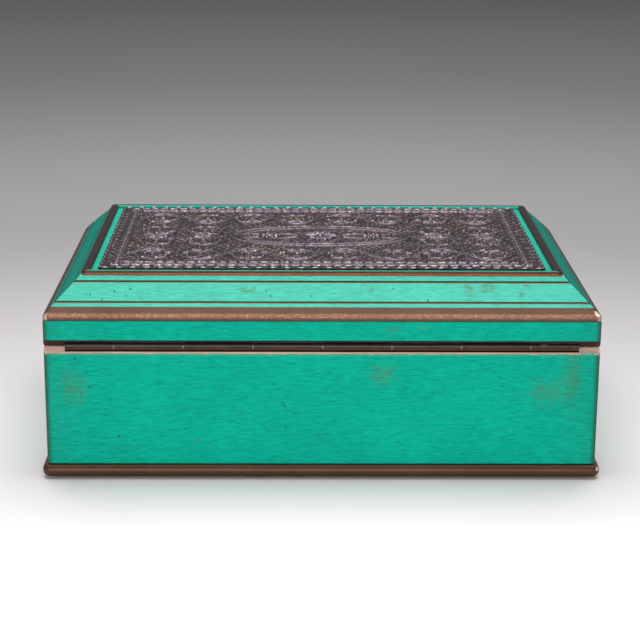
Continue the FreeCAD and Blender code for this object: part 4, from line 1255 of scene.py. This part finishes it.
class CASHBOX_OT_top_beads(bpy.types.Operator):
    """Copper bead round the panel's recess"""
    bl_idname = "cash_box.top_beads"
    bl_label = "Top beads"

    def execute(self, context):
        joinery = context.scene.cash_box_joinery
        paints = context.scene.cash_box_paint
        inner = BEAD_INSET + BEAD_WIDTH
        ease = joinery.bead_round
        # Painted light: a highlight low on the bead's outer face and painted shade on its top
        crest = (BEAD_LOW.z - MM, BEAD_LOW.z + 0.3 * MM, BEAD_HIGH.z - 0.2 * MM)
        for side in SIDES:
            painted = ease + 0.05 * MM if side == "front" else joinery.bead_edge
            corners = [(BEAD_INSET, BEAD_LOW.z, 0, COPPER), (BEAD_INSET, BEAD_HIGH.z, ease, COPPER),
                       (inner - painted, BEAD_HIGH.z, 0, EDGE), (inner, BEAD_HIGH.z, ease, EDGE),
                       (inner, BEAD_LOW.z, 0, COPPER)]
            bm = strip(side, rounded_ring(corners, segments=5), joinery.bead_corner)
            bead = piece_from(weathered(bm, joinery.wear * 0.6, waves=120.0), f"top_{side}_moulding")
            long_side = side in LONG_SIDES
            # The short sides take the darker umber as painted shade
            tint = paints.russet if long_side else paints.umber
            copper = copper_finish("bead", side, tint, -BEAD_INSET, reach=1.2 * MM, crest=crest, shadow=0.3,
                                   flecked=0.15, gloss=0.1)
            edge = green_paint(f"bead_{side}_edge", paints.jade, ALONG_X, gloss=0.2) if long_side else copper
            settled(bead, "lid", [f"top_{side}_bead"], [copper, edge])
        return {"FINISHED"}


# Scrollwork of the panel
def ray(turn):
    """A step of length 1 in the direction of a turn."""
    return Vector((math.cos(turn), math.sin(turn)))


def spiral(centre, outer, turns, start, sense):
    """Points of a scroll that keeps its outer turn round and then winds in to its eye."""
    count = round(turns * 32)
    round_part = 0.8
    wound = 0.62
    points = []
    for k in range(count + 1):
        share = k / count
        shrink = max(0.0, share * turns - round_part) / (turns - round_part)
        out = ray(start + sense * math.tau * turns * share)
        points.append(Vector(centre) + out * outer * (1 - wound * shrink))
    return points


def leaf(foot, heading, size, bend):
    """Points of a curling leaf from its foot."""
    steps = 6
    points = [Vector(foot)]
    for k in range(steps):
        points.append(points[-1] + ray(heading + bend * (k + 0.5) / steps) * (size / steps))
    return points


def dot(place, radius):
    """A round boss, as a very short stroke."""
    return [Vector(place), Vector(place) + Vector((0.05 * MM, 0))], radius, radius


def flower(centre, radius, petals):
    """Petals round an eye, each a short stroke."""
    strokes = [dot(centre, 0.3 * radius)]
    for k in range(petals):
        out = ray(math.tau * (k + 0.5) / petals)
        strokes.append(([Vector(centre) + out * radius * 0.5, Vector(centre) + out * radius * 0.8],
                        0.14 * radius, 0.26 * radius))
    return strokes


def leafy_scroll(relief, centre, start, sense):
    """A scroll with leaves inside and outside its turn and a flower in its eye."""
    stem = relief.rib / 2
    line = spiral(centre, relief.scroll - stem, 1.5, start, sense)
    strokes = [(line[k:k + 5], stem, stem * 0.4) for k in range(0, len(line) - 4, 4)]
    for k in range(2, 30, 4):
        ahead = line[k + 1] - line[k]
        heading = math.atan2(ahead.y, ahead.x)
        strokes.append((leaf(line[k], heading - sense * 0.8, 3.6 * MM, sense * 1.2), stem * 0.8, stem * 0.4))
        strokes.append((leaf(line[k], heading + sense * 0.8, 2.6 * MM, -sense * 0.9), stem * 0.7, stem * 0.4))
    eye = [Vector(centre) + ray(math.tau * k / 16) * (relief.eye - 0.4 * MM) for k in range(17)]
    return strokes + [dot(centre, 0.4 * relief.eye), (eye, 0.4 * MM, 0.4 * MM)]


def scroll_rows(relief, half_x, half_y):
    """Two full rows of scrolls and two short ones beside the oval, joined by waving stems."""
    pitch = 2 * half_x / relief.columns
    outer_row = (relief.oval_breadth / 2 + half_y) / 2
    inner_row = relief.scroll + relief.space / 2
    strokes = []
    for k in range(relief.columns):
        x = pitch * (k + 0.5) - half_x
        rows = [-outer_row, outer_row]
        if abs(x) > relief.oval_length / 2 + relief.scroll:
            rows += [-inner_row, inner_row]
        for y in rows:
            up = 1 if k % 2 else -1
            mirrored = 1 if y > 0 else -1
            turn = math.radians(90 + 100 * up * (1 if x > 0 else -1)) * mirrored
            strokes += leafy_scroll(relief, (x, y), turn, up * mirrored * (1 if x > 0 else -1))
    for y in (-outer_row, outer_row):
        wave = []
        for k in range(relief.columns * 12 + 1):
            x = -half_x + 2 * half_x * k / (relief.columns * 12)
            wave.append(Vector((x, y + (relief.scroll + 1.6 * MM) * math.cos(math.pi * (k - 6) / 12))))
        strokes.append((wave, relief.stem, relief.stem))
    return strokes


def dashes(start, end, half, pitch):
    """A line broken into short strokes."""
    count = round((end - start).length / pitch)
    return [([start.lerp(end, (k + 0.2) / count), start.lerp(end, (k + 0.8) / count)], half, half)
            for k in range(count)]


def border_strokes(relief, half_x, half_y):
    """An interlaced wave with an eye in each loop, and broken fillets beside it on the long sides."""
    strokes = []
    half = relief.fillet / 2
    outer = relief.scallop_depth + relief.border_inset
    for inset in (outer + half, outer + relief.border - half):
        x, y = half_x - inset, half_y - inset
        for side in (1, -1):
            strokes += dashes(Vector((-x, side * y)), Vector((x, side * y)), half, relief.dash)
    centre = outer + relief.border / 2
    swing = relief.border * 0.2
    for reach, away, turned in ((half_x, half_y, False), (half_y, half_x, True)):
        run = 2 * (reach - outer - relief.border)
        loops = round(run / relief.loop)
        for face in (1, -1):
            for phase in (0, math.pi):
                wave = []
                for k in range(loops * 8 + 1):
                    along = run * (k / (loops * 8) - 0.5)
                    across = face * (away - centre) + swing * math.sin(math.pi * k / 8 + phase)
                    wave.append(Vector((across, along)) if turned else Vector((along, across)))
                strokes.append((wave, relief.thread, relief.thread))
            for k in range(loops):
                along = run * ((k + 0.5) / loops - 0.5)
                place = (face * (away - centre), along) if turned else (along, face * (away - centre))
                strokes.append(dot(place, relief.stem))
    for sx in (1, -1):
        for sy in (1, -1):
            strokes += flower((sx * (half_x - centre), sy * (half_y - centre)), 2.6 * MM, 8)
    return strokes


def oval_strokes(relief):
    """A double rim, a rosette in the middle and long leaves that fill the oval's ends."""
    strokes = []
    half_x, half_y = relief.oval_length / 2, relief.oval_breadth / 2
    rim = relief.oval_rim / 2
    for shrink, width in ((rim, rim), (4.6 * MM, relief.thread)):
        points = []
        for k in range(121):
            turn = math.tau * k / 120
            points.append(Vector(((half_x - shrink) * math.cos(turn), (half_y - shrink) * math.sin(turn))))
        strokes.append((points, width, width))
    strokes += flower((0, 0), relief.rosette, 12) + flower((0, 0), relief.rosette * 0.5, 6)
    for sx in (1, -1):
        outward = 0 if sx > 0 else math.pi
        strokes += flower((sx * half_x * 0.56, 0), 4.0 * MM, 8)
        for sy in (1, -1):
            for reach, size in ((0.26, 13.0), (0.3, 8.0), (0.68, 9.0)):
                foot = (sx * half_x * reach, sy * 2.4 * MM)
                blade = leaf(foot, outward + sx * sy * 0.5, size * MM, -sx * sy * 0.9)
                strokes.append((blade, 0.65 * MM, 0.4 * MM))
    return strokes


def sprigs(relief, strokes, half_x, half_y):
    """Small three-leaved sprigs on a grid, wherever the larger strokes leave the ground free."""
    points = [(p.x, p.y, 0) for line, _, _ in strokes for p in line]
    taken = kdtree.KDTree(len(points))
    for k, point in enumerate(points):
        taken.insert(point, k)
    taken.balance()
    added = []
    pitch = relief.sprig_pitch
    rows, columns = round(2 * half_y / (pitch * 0.8)), round(2 * half_x / pitch)
    for row in range(rows):
        for column in range(columns):
            place = Vector((half_x * (2 * (column + 0.5 * (row % 2)) / columns - 1) + pitch / 4,
                            half_y * (2 * (row + 0.5) / rows - 1)))
            if taken.find((place.x, place.y, 0))[2] < 1.5 * MM:
                continue
            heading = math.tau * noise.noise(Vector((place.x, place.y, 0)) * 60)
            for turn in (-1.0, 0.0, 1.0):
                added.append((leaf(place, heading + turn, 1.9 * MM, turn), 0.5 * MM, 0.3 * MM))
    return added


def scroll_lines(relief, half_x, half_y):
    """Every stroke of the panel as one curve object, its radius the stroke's half width."""
    inner = relief.scallop_depth + relief.border_inset + relief.border
    strokes = border_strokes(relief, half_x, half_y) + oval_strokes(relief)
    strokes += scroll_rows(relief, half_x - inner, half_y - inner)
    strokes += sprigs(relief, strokes, half_x - 2.5 * relief.scallop_depth, half_y - inner)
    curve = bpy.data.curves.new("scroll_lines", "CURVE")
    curve.dimensions = "3D"
    for line, start, end in strokes:
        spline = curve.splines.new("POLY")
        spline.points.add(len(line) - 1)
        for k, point in enumerate(line):
            spline.points[k].co = (point.x, point.y, 0, 1)
            spline.points[k].radius = start + (end - start) * k / (len(line) - 1)
    lines = bpy.data.objects.new("scroll_lines", curve)
    bpy.context.scene.collection.objects.link(lines)
    return lines


def growth_tree(name, inputs):
    """A new tree that takes and gives geometry, and the outputs of its named inputs."""
    tree = bpy.data.node_groups.new(name, "GeometryNodeTree")
    for label, kind in {"Geometry": GEOMETRY, **inputs}.items():
        tree.interface.new_socket(name=label, in_out="INPUT", socket_type=kind)
    tree.interface.new_socket(name="Geometry", in_out="OUTPUT", socket_type=GEOMETRY)
    return tree, tree.nodes.new("NodeGroupInput").outputs


def ended(tree, grown, finish):
    """Makes what a tree has grown real, gives it its finish and hands it out."""
    real = node(tree, "GeometryNodeRealizeInstances", {0: grown}).outputs[0]
    finished = node(tree, "GeometryNodeSetMaterial", {"Geometry": real, "Material": finish}).outputs[0]
    feed(tree, tree.nodes.new("NodeGroupOutput").inputs[0], finished)
    return tree


def sampled(tree, points, index, value, kind):
    """A value of the point with an index."""
    inputs = {"Geometry": points, "Value": value, "Index": index}
    return node(tree, "GeometryNodeSampleIndex", inputs, data_type=kind).outputs[0]


def emboss_tree():
    """Presses a sheet with a scalloped edge over lines whose radius is their half width."""
    tree, given = growth_tree("embossed_sheet", {
        "Lines": "NodeSocketObject", "Press": VALUE, "Length": VALUE, "Breadth": VALUE,
        "Columns": WHOLE, "Rows": WHOLE, "Ground": VALUE, "Relief": VALUE,
        "Scallops Long": VALUE, "Scallops Short": VALUE, "Scallop Depth": VALUE, "Finish": MATERIAL})
    sheet = node(tree, "GeometryNodeMeshGrid", {"Size X": given["Length"], "Size Y": given["Breadth"],
                                                "Vertices X": given["Columns"], "Vertices Y": given["Rows"]})
    lines = node(tree, "GeometryNodeObjectInfo", {"Object": given["Lines"]}).outputs["Geometry"]
    fine = node(tree, "GeometryNodeResampleCurve", {"Curve": lines, "Length": 0.35 * MM}, mode="LENGTH")
    dots = node(tree, "GeometryNodeCurveToPoints", {"Curve": fine.outputs[0]}, mode="EVALUATED").outputs[0]
    place = node(tree, "GeometryNodeInputPosition").outputs[0]
    radius = node(tree, "GeometryNodeInputRadius").outputs[0]
    index = node(tree, "GeometryNodeSampleNearest", {"Geometry": dots, "Sample Position": place}).outputs[0]
    nearest = sampled(tree, dots, index, place, "FLOAT_VECTOR")
    wide = sampled(tree, dots, index, radius, "FLOAT")
    share = calc(tree, "DIVIDE", vector_calc(tree, "DISTANCE", place, nearest).outputs["Value"], wide)
    crown = calc(tree, "SUBTRACT", 1.0, times(tree, share, share))
    crown = calc(tree, "SQRT", calc(tree, "MAXIMUM", crown, 0.0))
    grown = times(tree, crown, calc(tree, "MINIMUM", calc(tree, "DIVIDE", wide, given["Press"]), 1.0))
    x, y, _ = parts_of(tree, place)
    bulges = []
    edges = []
    for along, across, size, other, count in ((x, y, "Length", "Breadth", "Scallops Long"),
                                              (y, x, "Breadth", "Length", "Scallops Short")):
        phase = times(tree, calc(tree, "DIVIDE", along, given[size]), given[count])
        turn = times(tree, spread(tree, given[count], 0.5, phase), math.pi)
        bulge = calc(tree, "POWER", calc(tree, "ABSOLUTE", calc(tree, "SINE", turn)), 0.9)
        margin = calc(tree, "SUBTRACT", times(tree, given[other], 0.5), calc(tree, "ABSOLUTE", across))
        near = ramp(tree, margin, 2.0 * MM, 0.0)
        pull = times(tree, calc(tree, "SUBTRACT", 1.0, bulge), given["Scallop Depth"], near)
        bulges.append(times(tree, pull, calc(tree, "SIGN", across), -1.0))
        rim = times(tree, ramp(tree, margin, 2.2 * MM, 1.1 * MM), ramp(tree, margin, 0.0, 0.5 * MM))
        edges.append(times(tree, rim, 0.7, bulge, bulge))
    height = any_of(tree, [grown, *edges])
    up = spread(tree, height, given["Relief"], given["Ground"])
    shift = node(tree, "ShaderNodeCombineXYZ", {0: bulges[1], 1: bulges[0], 2: up}).outputs[0]
    pressed = node(tree, "GeometryNodeSetPosition", {"Geometry": sheet.outputs["Mesh"], "Offset": shift})
    return ended(tree, pressed.outputs[0], given["Finish"])


def grown_from(tree, piece, values):
    """Runs a tree on a piece with its named inputs and leaves the plain mesh."""
    grower = piece.modifiers.new(tree.name, "NODES")
    grower.node_group = tree
    for item in tree.interface.items_tree:
        if item.item_type == "SOCKET" and item.in_out == "INPUT" and item.name in values:
            grower[item.identifier] = values[item.name]
    return applied(piece)


class CASHBOX_OT_relief_panel(bpy.types.Operator):
    """Embossed panel in the lid's recess"""
    bl_idname = "cash_box.relief_panel"
    bl_label = "Relief panel"

    def execute(self, context):
        relief = context.scene.cash_box_relief
        half_x, half_y = PANEL_HIGH.x, PANEL_HIGH.y
        lines = scroll_lines(relief, half_x, half_y)
        finish = relief_metal()
        panel = piece_from(bmesh.new(), "embossed_panel")
        grown_from(emboss_tree(), panel, {
            "Lines": lines,
            "Press": relief.press,
            "Length": 2 * half_x,
            "Breadth": 2 * half_y,
            "Columns": round(2 * half_x / relief.cell),
            "Rows": round(2 * half_y / relief.cell),
            "Ground": PANEL_LOW.z + relief.plate,
            "Relief": PANEL_HIGH.z - PANEL_LOW.z - relief.plate,
            "Scallops Long": float(round(2 * half_x / relief.scallop_pitch)),
            "Scallops Short": float(round(2 * half_y / relief.scallop_pitch)),
            "Scallop Depth": relief.scallop_depth,
            "Finish": finish,
        })
        bpy.data.objects.remove(lines)
        self.close_underneath(panel)
        settled(panel, "lid", ["relief_panel"], [], sharp=60)
        return {"FINISHED"}

    def close_underneath(self, panel):
        """Gives the sheet its edge and its flat back."""
        bm = bmesh.new()
        bm.from_mesh(panel.data)
        rim = [edge for edge in bm.edges if edge.is_boundary]
        skirt = bmesh.ops.extrude_edge_only(bm, edges=rim)["geom"]
        for item in skirt:
            if isinstance(item, bmesh.types.BMVert):
                item.co.z = PANEL_LOW.z
        bmesh.ops.holes_fill(bm, edges=[edge for edge in bm.edges if edge.is_boundary], sides=0)
        bmesh.ops.recalc_face_normals(bm, faces=bm.faces)
        bm.to_mesh(panel.data)
        bm.free()


def knuckle_tree():
    """A bevelled knuckle and its tongue at each point, as long as the point's span."""
    tree, given = growth_tree("hinge_knuckles", {
        "Radius": VALUE, "Chamfer": VALUE, "Facets": WHOLE, "Tongue Size": VECTOR, "Tongue Place": VECTOR,
        "Finish": MATERIAL})
    axis = node(tree, "GeometryNodeCurvePrimitiveLine", {"Start": (-0.5, 0, 0), "End": (0.5, 0, 0)})
    cuts = node(tree, "GeometryNodeResampleCurve", {"Curve": axis.outputs[0], "Count": 61}, mode="COUNT")
    ends = node(tree, "GeometryNodeCurveEndpointSelection").outputs[0]
    narrow = calc(tree, "SUBTRACT", 1.0, calc(tree, "DIVIDE", given["Chamfer"], given["Radius"]))
    bevelled = node(tree, "GeometryNodeSetCurveRadius", {"Curve": cuts.outputs[0], "Selection": ends,
                                                         "Radius": narrow})
    circle = node(tree, "GeometryNodeCurvePrimitiveCircle", {"Resolution": given["Facets"],
                                                             "Radius": given["Radius"]})
    barrel = node(tree, "GeometryNodeCurveToMesh", {"Curve": bevelled.outputs[0], "Fill Caps": True,
                                                    "Profile Curve": circle.outputs[0]})
    tongue = node(tree, "GeometryNodeMeshCube", {"Size": given["Tongue Size"]}).outputs[0]
    tongue = node(tree, "GeometryNodeTransform", {"Geometry": tongue, "Translation": given["Tongue Place"]})
    joined = node(tree, "GeometryNodeJoinGeometry")
    for grown in (barrel, tongue):
        tree.links.new(grown.outputs[0], joined.inputs[0])
    span = node(tree, "GeometryNodeInputNamedAttribute", {"Name": "span"}, data_type="FLOAT").outputs[0]
    scale = node(tree, "ShaderNodeCombineXYZ", {0: span, 1: 1.0, 2: 1.0}).outputs[0]
    row = node(tree, "GeometryNodeInstanceOnPoints", {"Points": given["Geometry"], "Scale": scale,
                                                      "Instance": joined.outputs[0]})
    return ended(tree, row.outputs[0], given["Finish"])


class CASHBOX_OT_strip_hinge(bpy.types.Operator):
    """Strip hinge: two leaves, each with every second knuckle"""
    bl_idname = "cash_box.strip_hinge"
    bl_label = "Strip hinge"

    def execute(self, context):
        hinge = context.scene.cash_box_hinge
        finish = hinge_bronze()
        tree = knuckle_tree()
        spans = self.spans(hinge)
        self.leaf("case", spans[0::2], CASE_LEAF_LOW, CASE_LEAF_HIGH, tree, finish, hinge)
        self.leaf("lid", spans[1::2], LID_LEAF_LOW, LID_LEAF_HIGH, tree, finish, hinge)
        dressed(finish, "hinge_pin")
        return {"FINISHED"}

    def spans(self, hinge):
        """Where each knuckle starts and ends along X."""
        count = math.ceil(HINGE_HALF / hinge.pitch)
        inner = [k * hinge.pitch for k in range(-count + 1, count)]
        joints = [-HINGE_HALF - hinge.gap / 2] + inner + [HINGE_HALF + hinge.gap / 2]
        return [(a + hinge.gap / 2, b - hinge.gap / 2) for a, b in zip(joints[:-1], joints[1:])]

    def leaf(self, body, spans, low, high, tree, finish, hinge):
        """One leaf: its plate, and its knuckles with their tongues."""
        thick = hinge.leaf
        down = body == "case"
        z0 = HINGE_Z - BARREL_RADIUS if down else HINGE_Z + BARREL_RADIUS - thick
        clearance = 0.25 * MM
        rear = HINGE_Y - BARREL_RADIUS - clearance
        plate = block((low.x, low.y, z0), (high.x, rear, z0 + thick), 0)
        bmesh.ops.bevel(plate, geom=plate.edges[:], offset=hinge.leaf_ease, segments=2, affect="EDGES")
        plate = piece_from(plate, f"hinge_{body}_plate")
        bm = bmesh.new()
        mark = bm.verts.layers.float.new("span")
        for start, end in spans:
            vert = bm.verts.new(((start + end) / 2, HINGE_Y, HINGE_Z))
            vert[mark] = end - start
        knuckles = piece_from(bm, f"hinge_{body}_strip")
        reach = BARREL_RADIUS + 2 * clearance
        grown_from(tree, knuckles, {
            "Radius": BARREL_RADIUS,
            "Chamfer": hinge.chamfer,
            "Facets": hinge.facets,
            "Tongue Size": (1.0, reach, thick),
            "Tongue Place": (0, -reach / 2, z0 + thick / 2 - HINGE_Z),
            "Finish": finish,
        })
        bm = bmesh.new()
        bm.from_mesh(knuckles.data)
        bm.from_mesh(plate.data)
        bmesh.ops.recalc_face_normals(bm, faces=bm.faces)
        bm.to_mesh(knuckles.data)
        bm.free()
        bpy.data.objects.remove(plate)
        settled(knuckles, body, [f"hinge_{body}_leaf"], [], sharp=25)


class CASHBOX_OT_box_lock(bpy.types.Operator):
    """Box lock in the front wall and the hook plate in the lid"""
    bl_idname = "cash_box.box_lock"
    bl_label = "Box lock"

    def execute(self, context):
        paints = context.scene.cash_box_paint
        brass = metal("lock_brass", paints.brass, ink(124, 96, 58), scale=130.0, roughness=0.26)
        steel = metal("screw_steel", paints.steel, ink(92, 84, 76), scale=300.0, roughness=0.34)
        eased_node("lock_plate", "lock_face_plate", "case", brass, width=0.2 * MM)
        eased_node("hook_plate", "lid_hook_plate", "lid", brass, width=0.2 * MM)
        eased_node("keyhole_escutcheon", "keyhole_shield", "case", brass, width=0.3 * MM,
                   segments=3)
        dressed(brass, "lock_cap", "lock_drill_pin", "lock_bolt", "escutcheon_pins")
        dressed(steel, "lock_spring", "lock_screws", "hook_plate_screws", "hinge_case_screws",
                "hinge_lid_screws", "base_screws")
        return {"FINISHED"}


class CASHBOX_OT_key(bpy.types.Operator):
    """Barrel key in the lock"""
    bl_idname = "cash_box.key"
    bl_label = "Key"

    def execute(self, context):
        paints = context.scene.cash_box_paint
        steel = metal("key_steel", paints.steel, ink(98, 84, 70), scale=150.0, roughness=0.3)
        eased_node("key", "barrel_key", "key", steel, width=0.18 * MM, sharp=35)
        return {"FINISHED"}


class CASHBOX_OT_linings(bpy.types.Operator):
    """Baize on the floor, in the lid and under the base"""
    bl_idname = "cash_box.linings"
    bl_label = "Linings"

    def execute(self, context):
        dressed(felt(), "base_felt", "floor_lining", "lid_lining")
        return {"FINISHED"}


class CASHBOX_OT_till_tray(bpy.types.Operator):
    """Lift-out till tray on its runners"""
    bl_idname = "cash_box.till_tray"
    bl_label = "Till tray"

    def execute(self, context):
        paints = context.scene.cash_box_paint
        along = wood("tray_wood_long", paints.tray, (16, 220, 220), roughness=0.42)
        across = wood("tray_wood_short", paints.tray, (220, 16, 220), roughness=0.42)
        for name, finish in (("tray_floor", along), ("tray_front", along), ("tray_rear", along),
                             ("tray_left", across), ("tray_right", across), ("tray_dividers", along)):
            eased_node(name, f"{name}_board", "tray", finish, width=0.45 * MM, segments=3)
        for name in ("tray_runner_left", "tray_runner_right"):
            eased_node(name, f"{name}_strip", "case", across, width=0.5 * MM, segments=3)
        eased_node("tray_tabs", "tray_lifting_tabs", "tray", tab_leather(), width=0.35 * MM,
                   segments=3)
        return {"FINISHED"}


OPERATORS = (CASHBOX_OT_stage, CASHBOX_OT_base_board, CASHBOX_OT_case_walls, CASHBOX_OT_lid_rails,
             CASHBOX_OT_lid_bands, CASHBOX_OT_lid_slopes, CASHBOX_OT_lid_top_board, CASHBOX_OT_top_beads,
             CASHBOX_OT_relief_panel, CASHBOX_OT_strip_hinge, CASHBOX_OT_box_lock, CASHBOX_OT_key,
             CASHBOX_OT_linings, CASHBOX_OT_till_tray)
SETTINGS = {"cash_box_stage": CashBoxStage, "cash_box_paint": CashBoxPaint,
            "cash_box_joinery": CashBoxJoinery, "cash_box_relief": CashBoxRelief,
            "cash_box_hinge": CashBoxHinge}


class CASHBOX_PT_pieces(bpy.types.Panel):
    """The pieces of the cash box and their settings"""
    bl_idname = "CASHBOX_PT_pieces"
    bl_label = "Cash box"
    bl_space_type = "VIEW_3D"
    bl_region_type = "UI"
    bl_category = "Cash box"

    def draw(self, context):
        for operator in OPERATORS:
            self.layout.operator(operator.bl_idname)
        for name, group in SETTINGS.items():
            box = self.layout.box()
            box.label(text=group.__doc__)
            for setting in group.__annotations__:
                box.prop(getattr(context.scene, name), setting)


def register():
    for cls in (*SETTINGS.values(), *OPERATORS, CASHBOX_PT_pieces):
        bpy.utils.register_class(cls)
    for name, group in SETTINGS.items():
        setattr(bpy.types.Scene, name, PointerProperty(type=group))


def unregister():
    for name in SETTINGS:
        delattr(bpy.types.Scene, name)
    for cls in (CASHBOX_PT_pieces, *reversed(OPERATORS), *reversed(SETTINGS.values())):
        bpy.utils.unregister_class(cls)


def main():
    register()
    for operator in OPERATORS:
        family, name = operator.bl_idname.split(".")
        getattr(getattr(bpy.ops, family), name)()


if __name__ == "__main__":
    main()
